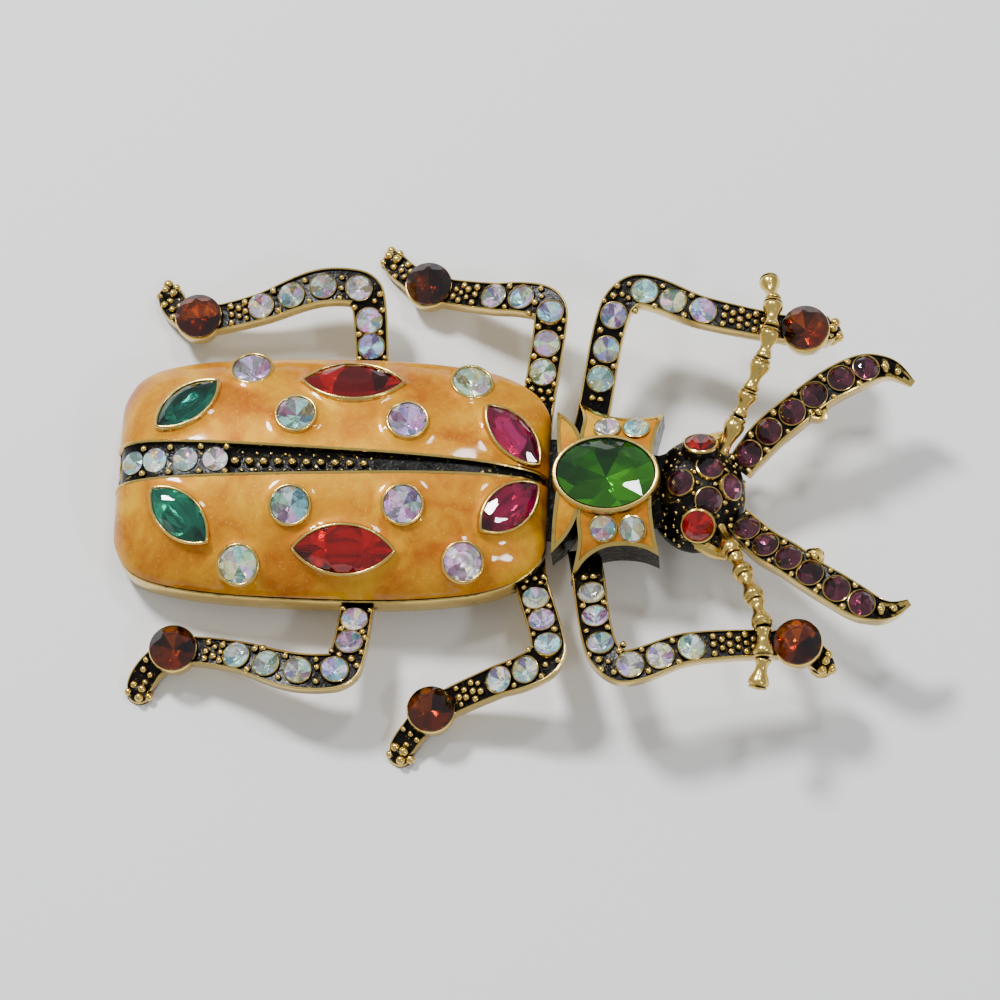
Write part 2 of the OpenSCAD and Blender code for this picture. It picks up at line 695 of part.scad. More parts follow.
casting();
wing_enamel(1);  // enamel_wing_left
wing_enamel(-1);  // enamel_wing_right
collar_enamel(1);  // enamel_collar_left
collar_enamel(-1);  // enamel_collar_right
pin_back();
collar_oval();
collar_crystals();
green_navette(1);  // green_navette_left
green_navette(-1);  // green_navette_right
red_navette(1);  // red_navette_left
red_navette(-1);  // red_navette_right
fuchsia_navette(1);  // fuchsia_navette_left
fuchsia_navette(-1);  // fuchsia_navette_right
wing_crystal(1, 1);  // wing_crystal_left_1
wing_crystal(2, 1);  // wing_crystal_left_2
wing_crystal(3, 1);  // wing_crystal_left_3
wing_crystal(4, 1);  // wing_crystal_left_4
wing_crystal(1, -1);  // wing_crystal_right_1
wing_crystal(2, -1);  // wing_crystal_right_2
wing_crystal(3, -1);  // wing_crystal_right_3
wing_crystal(4, -1);  // wing_crystal_right_4
eye(1);  // eye_left
eye(-1);  // eye_right
head_stones();
tail_crystals();
mandible_stones(1);  // mandible_stones_left
mandible_stones(-1);  // mandible_stones_right
crystals_of("front", 1);  // front_leg_crystals_left
crystals_of("middle", 1);  // middle_leg_crystals_left
crystals_of("hind", 1);  // hind_leg_crystals_left
crystals_of("front", -1);  // front_leg_crystals_right
crystals_of("middle_right", -1);  // middle_leg_crystals_right
crystals_of("hind", -1);  // hind_leg_crystals_right
brown("front", 1);  // front_brown_left
brown("middle", 1);  // middle_brown_left
brown("hind", 1);  // hind_brown_left
brown("front", -1);  // front_brown_right
brown("middle_right", -1);  // middle_brown_right
brown("hind", -1);  // hind_brown_right
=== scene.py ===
"""Looks of a stag beetle brooch: antique gold, pearly orange enamel and cut glass stones."""

import math
import random

import bpy
from bpy.props import FloatProperty, FloatVectorProperty, IntProperty, PointerProperty
from mathutils import Matrix, Vector


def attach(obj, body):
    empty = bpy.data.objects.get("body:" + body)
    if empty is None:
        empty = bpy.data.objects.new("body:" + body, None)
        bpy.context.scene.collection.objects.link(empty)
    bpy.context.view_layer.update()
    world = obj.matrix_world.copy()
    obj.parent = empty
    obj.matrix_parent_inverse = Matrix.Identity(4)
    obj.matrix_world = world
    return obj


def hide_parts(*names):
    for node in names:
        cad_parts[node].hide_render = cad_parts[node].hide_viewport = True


bl_info = {
    "name": "Stag beetle brooch",
    "version": (1, 0, 0),
    "blender": (4, 5, 0),
    "location": "View3D > Sidebar > Brooch",
    "description": "Models the metal, enamel and stones of a stag beetle brooch",
    "category": "Object",
}

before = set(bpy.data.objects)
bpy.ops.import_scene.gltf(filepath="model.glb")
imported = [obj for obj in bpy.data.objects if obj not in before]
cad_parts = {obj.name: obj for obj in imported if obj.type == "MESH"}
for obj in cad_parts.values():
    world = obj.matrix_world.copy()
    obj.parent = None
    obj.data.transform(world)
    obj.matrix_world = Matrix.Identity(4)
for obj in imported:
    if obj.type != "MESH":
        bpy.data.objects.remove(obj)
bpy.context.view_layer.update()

# The brooch is drawn level in millimetres, with x = 0 by the middle of the collar, and then stood
# on its feet and pin. STAND takes a level point to the frame.
PITCH = math.radians(3.4)
ORIGIN_X = 9.46
LIFT = 0.8
METRES = 0.001
STAND = (
    Matrix.Scale(METRES, 4)
    @ Matrix.Translation((ORIGIN_X, 0, LIFT))
    @ Matrix.Rotation(-PITCH, 4, "Y")
)
SIDES = (("left", 1), ("right", -1))
UP = Vector((0, 0, 1))

# Levels and places along the body
WING_L = 43.7
WING_W = 26.2
SHOULDER_X = -5.5
TAIL_X = SHOULDER_X - WING_L
UNDER_Z = 3.5
RIM_Z = UNDER_Z + 2.9
DOME_H = 5.5
GROOVE_W = 4.1
GROOVE_D = 0.9
TAIL_STEP = 0.3
LIP_W = 0.35

# Wing covers from tail to shoulder, as shares: place along the wing, half width, dome height
WING = [
    (0, 0.50, 0), (0.012, 0.655, 0.42), (0.035, 0.775, 0.62), (0.075, 0.865, 0.78),
    (0.14, 0.925, 0.90), (0.23, 0.965, 0.97), (0.36, 0.99, 1.00), (0.5, 1.00, 1.00),
    (0.64, 0.995, 0.98), (0.76, 0.965, 0.91), (0.86, 0.91, 0.78), (0.93, 0.82, 0.58),
    (0.975, 0.70, 0.36), (1, 0.48, 0),
]
# Wing stones: place along the wing, place across the half wing, turn in degrees
GREEN = (0.166, 0.48, 44)
RED = (0.545, 0.677, 0)
FUCHSIA = (0.915, 0.345, -45)
WING_ROUNDS = [(0.305, 0.81, 0), (0.420, 0.372, 0), (0.677, 0.345, 0), (0.816, 0.775, 0)]
NAVETTE = (7.7, 4.0)
RED_NAVETTE = (10.0, 4.8)
WING_STONE_D = 3.8
TAIL_CRYSTALS = (0.045, 0.098, 0.170, 0.240)
BEADS = [0.285 + 0.033 * i for i in range(10)]

COLLAR_L = 11.0
COLLAR_HALF_W = 9.8
COLLAR_R = 12.0
COLLAR_TOP = UNDER_Z + 6.5
OVAL_X = 0.4
OVAL = (10.0, 7.6)
# Collar plate and lobe of one side, as shares of the collar's length and half width. The third
# number is 1 at a sharp corner.
PLATE = [
    (-0.25, 0, 1), (-0.25, 0.48, 0), (-0.235, 0.68, 0), (-0.30, 1, 1), (-0.17, 0.83, 0),
    (-0.01, 0.73, 0), (0.18, 0.70, 0), (0.36, 0.72, 0), (0.50, 0.78, 1), (0.455, 0.56, 0),
    (0.425, 0.34, 0), (0.42, 0, 1),
]
LOBE = [
    (-0.42, 0, 1), (-0.445, 0.22, 0), (-0.47, 0.50, 0), (-0.48, 0.78, 1), (-0.35, 0.64, 0),
    (-0.26, 0.47, 0), (-0.2, 0.2, 1), (-0.2, 0, 1),
]
COLLAR_CRYSTALS = [(-0.01, 0.55), (0.255, 0.55)]

HEAD_X = OVAL_X + 9
HEAD_Z = UNDER_Z + 0.7
HEAD_SIZE = (4.9, 6.0, 3.7)
# Places on the head: stones with their tilt in degrees, and the larger granules between them
HEAD_STONES = [(-1.5, 0, -18), (1.25, 1.75, 14), (1.25, -1.75, 14), (3.45, 0, 46)]
HEAD_LARGE_GRANULES = [
    (-0.2, 1.15), (-0.2, -1.15), (1.9, 0.0), (2.9, 1.75), (2.9, -1.75), (0.1, 0.0),
]
HEAD_TRIES = 420
# Neck between collar and head: place along the body, half width and top
NECK = [(4.2, 3.7, 6.6), (5.6, 3.7, 6.7), (7.0, 4.4, 6.3), (8.2, 4.9, 5.6)]
GOLDEN_TURN = 2.39996

LEG_W = 3.3
LEG_T = 2.0
CUP_H = 1.1
# How far the floor of a leg or mandible stays from its edges, and how deep it may lie
RIM_BAND = 0.36
FLOOR_DROP = 0.34
# Legs from hip to toe, as shares of the reach: along the body, outwards, upwards, and share of
# the leg's width
FRONT_ROWS = [
    (-0.02, -0.10, -0.03, 1), (0, 0, 0, 1), (0.078, 0.385, 0.15, 1), (0.172, 0.465, 0.168, 1.05),
    (0.43, 0.378, 0.168, 0.95), (0.85, 0.33, 0.09, 0.8), (0.93, 0.36, 0.035, 0.8),
    (0.98, 0.4, -0.02, 0.5),
]
MIDDLE_LEFT_ROWS = [
    (-0.01, -0.12, -0.03, 1), (0, 0, 0, 1), (0.05, 0.4, 0.135, 1.05), (0.01, 0.46, 0.125, 1.1),
    (-0.1, 0.497, 0.09, 1.05), (-0.24, 0.523, 0.032, 0.95), (-0.545, 0.62, -0.1, 0.85),
    (-0.655, 0.7, -0.14, 0.8), (-0.725, 0.775, -0.165, 0.75), (-0.735, 0.82, -0.175, 0.4),
]
MIDDLE_RIGHT_ROWS = [
    (-0.01, -0.12, -0.03, 1), (0, 0, 0, 1), (0.11, 0.39, 0.135, 1.05), (0.075, 0.455, 0.125, 1.1),
    (-0.02, 0.497, 0.09, 1.05), (-0.14, 0.523, 0.032, 0.95), (-0.425, 0.63, -0.1, 0.85),
    (-0.505, 0.71, -0.14, 0.8), (-0.56, 0.79, -0.165, 0.75), (-0.57, 0.83, -0.175, 0.4),
]
HIND_ROWS = [
    (0.01, -0.10, -0.03, 1), (0, 0, 0, 1), (-0.035, 0.3, 0.075, 1.1), (-0.085, 0.335, 0.085, 1.15),
    (-0.25, 0.333, 0.08, 1.15), (-0.51, 0.252, 0.025, 0.92), (-0.765, 0.22, -0.04, 0.85),
    (-0.86, 0.275, -0.085, 0.85), (-0.91, 0.355, -0.11, 0.8), (-0.915, 0.4, -0.12, 0.45),
]
FRONT_STONES = (0.153, 0.233, 0.325, 0.439, 0.519, 0.603)
MIDDLE_STONES = (0.177, 0.264, 0.362, 0.48, 0.575)
HIND_STONES = (0.133, 0.21, 0.319, 0.427, 0.526, 0.623)
LEG_STONE_D = 2.6
BROWN_D = 4.7
EYE_D = 3.0
PLUM_D = 2.6
SMALL_D = 2.5

MANDIBLE_L = 17.2
MANDIBLE_W = 3.4
MANDIBLE_T = 2.3
MANDIBLE_BASE = (HEAD_X + 5.2, 0.35, UNDER_Z + 2.4)
MANDIBLE_ROWS = [
    (-0.07, 0.13, -0.03, 0.8), (0, 0.215, 0.005, 0.92), (0.113, 0.335, 0.06, 1),
    (0.247, 0.435, 0.12, 1), (0.372, 0.535, 0.15, 0.97), (0.525, 0.635, 0.17, 1),
    (0.67, 0.712, 0.15, 0.95), (0.78, 0.735, 0.12, 0.7), (0.855, 0.72, 0.09, 0.5),
    (0.95, 0.66, 0.045, 0.2),
]
ANTENNA_L = 19.0
ANTENNA_BASE = (HEAD_X + 2.2, 3.6, UNDER_Z + 2)
ANTENNA_JOINTS = [
    (0, 0, 0), (0.1, 0.21, 0.1), (0.155, 0.34, 0.155), (0.22, 0.5, 0.215), (0.26, 0.66, 0.26),
    (0.265, 0.82, 0.24), (0.235, 0.975, 0.19),
]
# One segment of an antenna: share of its length, and radius
SEGMENT = [
    (0.0, 0.55), (0.04, 0.80), (0.10, 0.84), (0.17, 0.70), (0.28, 0.58), (0.42, 0.61),
    (0.55, 0.78), (0.66, 0.96), (0.76, 1.06), (0.85, 1.05), (0.89, 0.86), (0.91, 0.84),
    (0.94, 0.96), (0.985, 0.90), (1.0, 0.62), (1.02, 0.3),
]
# How far stones stand out of their seats
WING_STONE_LIFT = 0.45
SMALL_STONE_LIFT = 0.1
# Bore under a stone of a leg or mandible: radius, and its two ends over the seat
SMALL_BORE = (1.22, -0.95, 1)


class MetalSettings(bpy.types.PropertyGroup):
    gold: FloatVectorProperty(
        name="Gold", description="Colour of the worn gold", subtype="COLOR", size=3,
        default=(0.78, 0.55, 0.15), min=0, max=1)
    oxide: FloatVectorProperty(
        name="Oxide", description="Colour of the darkened hollows", subtype="COLOR", size=3,
        default=(0.010, 0.006, 0.004), min=0, max=1)
    bezel: FloatProperty(
        name="Bezel", description="Thickness of the metal round a wing stone, in mm", default=0.3,
        min=0.2, max=0.6)
    granule: FloatProperty(
        name="Granule", description="Diameter of a granule on the legs, in mm", default=0.74,
        min=0.4, max=0.9)
    hollow: FloatProperty(
        name="Hollow", description="Size of the hollows that stay dark", subtype="DISTANCE",
        default=0.0008, min=0)


class EnamelSettings(bpy.types.PropertyGroup):
    deep: FloatVectorProperty(
        name="Deep", description="Darkest orange of the marbling", subtype="COLOR", size=3,
        default=(0.38, 0.10, 0.0), min=0, max=1)
    warm: FloatVectorProperty(
        name="Warm", description="Main orange", subtype="COLOR", size=3,
        default=(0.54, 0.215, 0.0), min=0, max=1)
    pale: FloatVectorProperty(
        name="Pale", description="Pearly yellow of the marbling", subtype="COLOR", size=3,
        default=(0.68, 0.345, 0.004), min=0, max=1)
    meniscus: FloatProperty(
        name="Meniscus", description="How far the enamel climbs a bezel, in mm", default=0.3,
        min=0, max=0.6)
    thickness: FloatProperty(
        name="Thickness", description="Thickness of the enamel, in mm", default=0.7, min=0.4, max=1)


class StoneSettings(bpy.types.PropertyGroup):
    table: FloatProperty(
        name="Table", description="Table as a share of the stone's width", default=0.56,
        min=0.4, max=0.7)
    crown: FloatProperty(
        name="Crown", description="Height of the crown as a share of the width", default=0.16,
        min=0.1, max=0.2)
    pavilion: FloatProperty(
        name="Pavilion", description="Depth of the pavilion as a share of the width", default=0.36,
        min=0.3, max=0.45)
    seed: IntProperty(
        name="Seed", description="Order of the stones' turns and tints", default=7, min=0)


class StageSettings(bpy.types.PropertyGroup):
    floor: FloatVectorProperty(
        name="Floor", description="Colour of the floor", subtype="COLOR", size=3,
        default=(0.80, 0.80, 0.80), min=0, max=1)
    lens: FloatProperty(name="Lens", description="Focal length in mm", default=162, min=50)
    elevation: FloatProperty(
        name="Elevation", description="Height angle of the camera", subtype="ANGLE",
        default=math.radians(69))
    turn: FloatProperty(
        name="Turn", description="Turn of the camera round the brooch", subtype="ANGLE",
        default=math.radians(2.7))
    distance: FloatProperty(
        name="Distance", description="Camera distance", subtype="DISTANCE", default=0.45, min=0.1)


# Shapes, all in level millimetres


def column(table, q, n):
    """Smoothly interpolated column n of a table whose first column is q."""
    k = 0
    while k < len(table) - 2 and q > table[k + 1][0]:
        k += 1
    q0, q1 = table[k][0], table[k + 1][0]
    t = min(1, max(0, (q - q0) / (q1 - q0)))
    a, b = table[k][n], table[k + 1][n]
    before = table[k - 1] if k > 0 else table[k]
    after = table[k + 2] if k + 2 < len(table) else table[k + 1]
    slope_a = (b - before[n]) / (q1 - before[0]) * (q1 - q0)
    slope_b = (after[n] - a) / (after[0] - q0) * (q1 - q0)
    return (
        a * (1 + 2 * t) * (1 - t) ** 2 + slope_a * t * (1 - t) ** 2
        + b * t * t * (3 - 2 * t) + slope_b * t * t * (t - 1)
    )


def smooth(rows, step):
    """Rows about a step apart on a smooth line through rows that start with x, y and z."""
    table = [(0, *rows[0])]
    for a, b in zip(rows, rows[1:]):
        table.append((table[-1][0] + (Vector(b[:3]) - Vector(a[:3])).length, *b))
    length = table[-1][0]
    count = max(2, round(length / step))
    return [
        tuple(column(table, length * i / count, n + 1) for n in range(len(rows[0])))
        for i in range(count + 1)
    ]


# The wing table over an even turn from tail to shoulder, in which the round ends are smooth
TURNED_WING = [(math.acos(1 - 2 * s) / math.pi, w, h) for s, w, h in WING]


def turn_of(s):
    return math.acos(1 - 2 * min(1, max(0, s))) / math.pi


def eased(count):
    """Shares from 0 to 1 that lie close together at both ends."""
    return [(1 - math.cos(math.pi * i / count)) / 2 for i in range(count + 1)]


def wing_x(s):
    return TAIL_X + s * WING_L


def half_w(s):
    return WING_W / 2 * column(TURNED_WING, turn_of(s), 1)


def dome_z(x, y):
    s = (x - TAIL_X) / WING_L
    across = min(1, abs(y) / half_w(s))
    return RIM_Z + DOME_H * column(TURNED_WING, turn_of(s), 2) * (1 - across**2.3) ** 0.62


def dome_slope(x, y):
    reach = 0.3
    return (
        (dome_z(x + reach, y) - dome_z(x - reach, y)) / (2 * reach),
        (dome_z(x, y + reach) - dome_z(x, y - reach)) / (2 * reach),
    )


def groove_half(s):
    return GROOVE_W / 2 * (1 - 0.87 * s)


def collar_z(y):
    return COLLAR_TOP - COLLAR_R + math.sqrt(COLLAR_R**2 - y * y)


def head_top(x, y):
    rest = max(0, 1 - (x / HEAD_SIZE[0]) ** 2 - (y / HEAD_SIZE[1]) ** 2)
    return HEAD_Z + HEAD_SIZE[2] * math.sqrt(rest)


def turned(place, *turns):
    """A seat at a place, turned about the axes in the order given, in degrees."""
    matrix = Matrix.Translation(place)
    for axis, angle in turns:
        matrix = matrix @ Matrix.Rotation(math.radians(angle), 4, axis)
    return matrix


def wing_seat(place, side):
    """Seat of a wing stone. The outer round ones lean less than the dome under them."""
    along, across, turn = place
    x = wing_x(along)
    y = side * across * half_w(along)
    slope_x, slope_y = dome_slope(x, y)
    if place in WING_ROUNDS and across > 0.7:
        slope_y *= 0.6
    lean = -math.atan(slope_x)
    roll = math.atan(slope_y * math.cos(lean))
    turns = ("Y", math.degrees(lean)), ("X", math.degrees(roll)), ("Z", side * turn)
    return turned((x, y, dome_z(x, y)), *turns)


def groove_seat(s, depth):
    x = wing_x(s)
    lean = -math.degrees(math.atan(dome_slope(x, 0)[0]))
    return turned((x, 0, dome_z(x, 0) - depth), ("Y", lean))


def collar_seats():
    seats = []
    for _, side in SIDES:
        for along, across in COLLAR_CRYSTALS:
            y = side * across * COLLAR_HALF_W
            roll = math.degrees(math.asin(y / COLLAR_R))
            seats.append(turned((along * COLLAR_L + OVAL_X, y, collar_z(y)), ("X", -roll)))
    return seats


def head_seats():
    seats = []
    for x, y, tilt in HEAD_STONES:
        seats.append(turned((HEAD_X + x, y, head_top(x, y)), ("Y", tilt), ("X", -y * 9)))
    return seats


def eye_seat(side):
    return turned((HEAD_X + 0.3, side * 4.3, HEAD_Z + 3.1), ("X", -side * 38))


def placed(base, rows, reach, side=1):
    """Rows of x, y, z and width share, from shares of a reach."""
    x, y, z = base
    return [
        (x + reach * row[0], side * (y + reach * row[1]), z + reach * row[2], *row[3:])
        for row in rows
    ]


def facing(place, way):
    """A seat that follows a way and faces up from its slope."""
    heading = math.degrees(math.atan2(way.y, way.x))
    return turned(place, ("Z", heading), ("Y", -math.degrees(math.asin(way.z))))


def way_seat(points, distance):
    """A seat at a distance along straight steps."""
    for a, b in zip(points, points[1:]):
        a, b = Vector(a[:3]), Vector(b[:3])
        length = (b - a).length
        way = (b - a) / length
        if distance <= length:
            break
        distance -= length
    return facing(a + way * distance, way)


def way_length(points):
    return sum((Vector(b[:3]) - Vector(a[:3])).length for a, b in zip(points, points[1:]))


# Hip, reach, rows on the left and the right, stones, and the row of the foot stone
LEGS = {
    "front": ((-1.3, 8.6, UNDER_Z + 2), 25, FRONT_ROWS, FRONT_ROWS, FRONT_STONES, 5),
    "middle": (
        (wing_x(0.965), half_w(0.965) - 0.3, UNDER_Z + 1.6), 22,
        MIDDLE_LEFT_ROWS, MIDDLE_RIGHT_ROWS, MIDDLE_STONES, 6),
    "hind": (
        (wing_x(0.575), half_w(0.575) - 0.3, UNDER_Z + 2.2), 24,
        HIND_ROWS, HIND_ROWS, HIND_STONES, 6),
}


def leg_rows(name, side):
    hip, reach, left, right, _, _ = LEGS[name]
    return placed(hip, left if side > 0 else right, reach, side)


def leg_seats(name, side):
    rows = leg_rows(name, side)
    length = way_length(rows)
    return [way_seat(rows, share * length) for share in LEGS[name][4]]


def ankle(name, side):
    row = leg_rows(name, side)[LEGS[name][5]]
    return Matrix.Translation((row[0], row[1], row[2] + CUP_H))


def mandible_rows(side):
    return placed(MANDIBLE_BASE, MANDIBLE_ROWS, MANDIBLE_L, side)


def mandible_seats(side):
    rows = mandible_rows(side)
    seats = []
    for k in range(1, 7):
        a, b, c = (Vector(row[:3]) for row in rows[k - 1:k + 2])
        seats.append(facing(b, ((b - a).normalized() + (c - b).normalized()).normalized()))
    return seats


def oval_at(length, width):
    """The outline of an oval, as a point at each share t of its turn."""
    return lambda t: Vector((
        length / 2 * math.cos(2 * math.pi * t), width / 2 * math.sin(2 * math.pi * t)))


def circle_at(diameter):
    return oval_at(diameter, diameter)


def lens_at(length, width):
    """The outline of a navette: two arcs that meet in points."""
    r = (length**2 + width**2) / (4 * width)
    end = math.asin(length / 2 / r)

    def point(t):
        t %= 1
        side = 1 if t < 0.5 else -1
        angle = end * (1 - 4 * (t % 0.5))
        return Vector((side * r * math.sin(angle), side * (r * math.cos(angle) - r + width / 2)))

    return point


def circle_gap(diameter):
    """Distance from a circle, less than nothing inside it."""
    return lambda x, y: math.hypot(x, y) - diameter / 2


def outside(outline, t, distance):
    """A point at a distance outside an outline."""
    way = outline(t + 0.002) - outline(t - 0.002)
    return outline(t) + distance * Vector((way.y, -way.x)).normalized()


def lens_gap(length, width):
    """Distance from a navette's outline, less than nothing inside it."""
    r = (length**2 + width**2) / (4 * width)
    drop = r - width / 2
    return lambda x, y: math.hypot(x, abs(y) + drop) - r


# Objects


def deselect():
    if bpy.context.mode != "OBJECT":
        bpy.ops.object.mode_set(mode="OBJECT")
    bpy.ops.object.select_all(action="DESELECT")


def activate(*objs):
    deselect()
    for obj in objs:
        obj.select_set(True)
    bpy.context.view_layer.objects.active = objs[0]


def primitive(kind, name, **sizes):
    deselect()
    getattr(bpy.ops.mesh, f"primitive_{kind}_add")(**sizes)
    obj = bpy.context.object
    obj.name = name
    return obj


def dress(obj, materials):
    """Gives an object its materials and keeps each face's own."""
    kept = [face.material_index for face in obj.data.polygons]
    obj.data.materials.clear()
    for material in materials:
        obj.data.materials.append(material)
    for face, index in zip(obj.data.polygons, kept):
        face.material_index = min(index, len(materials) - 1)
    return obj


def join(objs, name):
    materials = next((list(obj.data.materials) for obj in objs if obj.data.materials), [])
    for obj in objs:
        if materials and not obj.data.materials:
            dress(obj, materials)
    activate(*objs)
    if len(objs) > 1:
        bpy.ops.object.join()
    obj = bpy.context.object
    obj.name = name
    return obj


def copy_of(obj, matrix):
    """A copy with its own mesh, placed by a matrix."""
    new = obj.copy()
    new.data = obj.data.copy()
    new.data.transform(matrix)
    bpy.context.collection.objects.link(new)
    return new


def copies(model, places):
    """Copies of a model at places, which take its stead."""
    made = [copy_of(model, place) for place in places]
    remove(model)
    return made


def settle(obj):
    """Puts an object's place, turn and size into its mesh."""
    activate(obj)
    bpy.ops.object.transform_apply(location=True, rotation=True, scale=True)
    return obj


def remove(*objs):
    for obj in objs:
        bpy.data.objects.remove(obj)


def bake_modifiers(obj):
    activate(obj)
    for modifier in list(obj.modifiers):
        bpy.ops.object.modifier_apply(modifier=modifier.name)
    return obj


def edit_all(obj):
    """Opens an object in edit mode with all of it selected."""
    activate(obj)
    bpy.ops.object.mode_set(mode="EDIT")
    bpy.ops.mesh.select_all(action="SELECT")


def put_points(obj, points):
    for vertex, point in zip(obj.data.vertices, points):
        vertex.co = point


def clean(obj, fill=False):
    """Merges doubles and turns the faces outwards. Open ends can be filled."""
    edit_all(obj)
    bpy.ops.mesh.remove_doubles(threshold=0.0005)
    if fill:
        bpy.ops.mesh.fill_holes(sides=0)
        bpy.ops.mesh.select_all(action="SELECT")
    bpy.ops.mesh.normals_make_consistent(inside=False)
    bpy.ops.object.mode_set(mode="OBJECT")
    return obj


def combine(obj, cutter, operation, solver="MANIFOLD"):
    """Cuts or joins a closed body with another, and keeps no empty material slot.

    An open skin takes the exact solver.
    """
    modifier = obj.modifiers.new(operation, "BOOLEAN")
    modifier.operation = operation
    modifier.object = cutter
    modifier.solver = solver
    bake_modifiers(obj)
    remove(cutter)
    if not any(obj.data.materials):
        obj.data.materials.clear()
    return obj


def net(name, rows):
    """A grid whose vertices are put on rows of points."""
    obj = primitive(
        "grid", name, x_subdivisions=len(rows[0]) - 1, y_subdivisions=len(rows) - 1, size=1)
    put_points(obj, [point for row in rows for point in row])
    return obj


def skin(name, rows, fill=False):
    """A skin through rows of points. Its open ends can be filled."""
    return clean(net(name, rows), fill)


def band(name, outline, profile, count=40):
    """A closed band round an outline. The profile's points are (distance outwards, height)."""
    rows = []
    for i in range(count + 1):
        rows.append([
            outside(outline, i % count / count, d).to_3d() + Vector((0, 0, z))
            for d, z in profile + profile[:1]
        ])
    return skin(name, rows)


def prism(name, points, low, high):
    """An upright block on a plan, from a low to a high level."""
    obj = primitive("circle", name, vertices=len(points), radius=1)
    put_points(obj, [(point[0], point[1], low) for point in points])
    edit_all(obj)
    bpy.ops.mesh.edge_face_add()
    bpy.ops.mesh.extrude_region_move(TRANSFORM_OT_translate={"value": (0, 0, high - low)})
    bpy.ops.object.mode_set(mode="OBJECT")
    return clean(obj)


def bores(places, radius, low, high):
    """Round cutters at seats, joined. They reach from low to high over each seat."""
    first = settle(primitive(
        "cylinder", "bore", vertices=24, radius=radius, depth=high - low,
        location=(0, 0, (low + high) / 2)))
    return join(copies(first, places), "bores")


def balls(places, diameter, segments=10, rings=7):
    """Granules at places, joined. Each place is a point with its own share of the size."""
    first = settle(primitive(
        "uv_sphere", "granule", segments=segments, ring_count=rings, radius=diameter / 2))
    seats = [Matrix.Translation(spot) @ Matrix.Scale(size, 4) for spot, size in places]
    return join(copies(first, seats), "granules")


def darken(obj, chosen):
    """Puts black oxide on the faces of a metal piece whose centres are chosen: mostly real dark
    ground, but a painted reflection on the collar's side wall.
    """
    if not obj.data.materials:
        dress(obj, [finish("worn_gold"), finish("black_oxide")])
    for face in obj.data.polygons:
        if chosen(face.center):
            face.material_index = 1
    return obj


def face_up(obj):
    """Turns an open skin so that it faces up."""
    if sum(face.normal.z * face.area for face in obj.data.polygons) < 0:
        obj.data.flip_normals()
    return obj


def finish_piece(obj, materials, nodes, angle=35):
    """Stands a level piece in the frame, with its finish and body, and hides the nodes it replaces.
    """
    settle(obj)
    obj.data.transform(STAND)
    dress(obj, materials)
    bpy.ops.object.shade_smooth_by_angle(angle=math.radians(angle))
    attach(obj, "root")
    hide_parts(*nodes)
    return obj


def finish_metal(parts, name, angle=35, dark=True):
    """Joins metal parts into one finished piece, with dark ground where it has any."""
    materials = [finish("worn_gold")] + ([finish("black_oxide")] if dark else [])
    return finish_piece(join(parts, name), materials, ["casting"], angle)


# Materials


def new_material(name):
    material = bpy.data.materials.new(name)
    material.use_nodes = True
    return material, material.node_tree, material.node_tree.nodes["Principled BSDF"]


def feed(tree, fed, inputs):
    """Sets the inputs of a node to values, or links them to sockets."""
    for key, value in inputs.items():
        if isinstance(value, bpy.types.NodeSocket):
            tree.links.new(value, fed.inputs[key])
        else:
            fed.inputs[key].default_value = value
    return fed


def node(tree, kind, inputs=None, **settings):
    """A shader node with its settings and inputs."""
    new = tree.nodes.new("ShaderNode" + kind)
    for key, value in settings.items():
        setattr(new, key, value)
    return feed(tree, new, inputs or {})


def ramp(tree, factor, stops):
    """A colour ramp over stops of (place, grey or colour)."""
    new = node(tree, "ValToRGB", {"Fac": factor})
    elements = new.color_ramp.elements
    while len(elements) < len(stops):
        elements.new(0.5)
    for element, (place, colour) in zip(elements, stops):
        if isinstance(colour, float):
            colour = (colour, colour, colour)
        element.position = place
        element.color = (*colour, 1)
    return new.outputs["Color"]


def blend_colours(tree, factor, a, b):
    """Mixes two colours, each a socket or three numbers."""
    a, b = (c if isinstance(c, bpy.types.NodeSocket) else (*c, 1) for c in (a, b))
    return node(tree, "Mix", {"Factor": factor, 6: a, 7: b}, data_type="RGBA").outputs[2]


def object_noise(tree, scale, detail=3, distortion=0.0, roughness=0.5):
    inputs = {
        "Vector": node(tree, "TexCoord").outputs["Object"], "Scale": scale, "Detail": detail,
        "Distortion": distortion, "Roughness": roughness,
    }
    return node(tree, "TexNoise", inputs).outputs["Fac"]


def bump(tree, height, strength, distance):
    inputs = {"Height": height, "Strength": strength, "Distance": distance}
    return node(tree, "Bump", inputs).outputs["Normal"]


def shade(colour, amount):
    return tuple(min(1, c * amount) for c in colour)


def antique_gold(metal):
    """Worn gold, dark in its hollows."""
    material, tree, shader = new_material("worn_gold")
    hollows = node(tree, "AmbientOcclusion", {"Distance": metal.hollow}, samples=8).outputs["AO"]
    patches = object_noise(tree, 1300, 4, 0.3)
    uneven = node(tree, "Math", {0: patches, 1: 1.3, 2: -0.65}, operation="MULTIPLY_ADD")
    worn = node(tree, "Math", {0: hollows, 1: uneven.outputs[0]}, operation="ADD")
    bright = ramp(tree, worn.outputs[0], [(0.48, 0.0), (0.84, 1.0)])
    clouds = object_noise(tree, 420, 3)
    tone = blend_colours(tree, clouds, shade(metal.gold, 0.78), shade(metal.gold, 1.12))
    feed(tree, shader, {
        "Base Color": blend_colours(tree, bright, metal.oxide, tone),
        "Metallic": 1.0,
        "Roughness": ramp(tree, bright, [(0.0, 0.42), (1.0, 0.2)]),
        "Normal": bump(tree, object_noise(tree, 2600, 3), 0.35, 0.00005),
    })
    return material


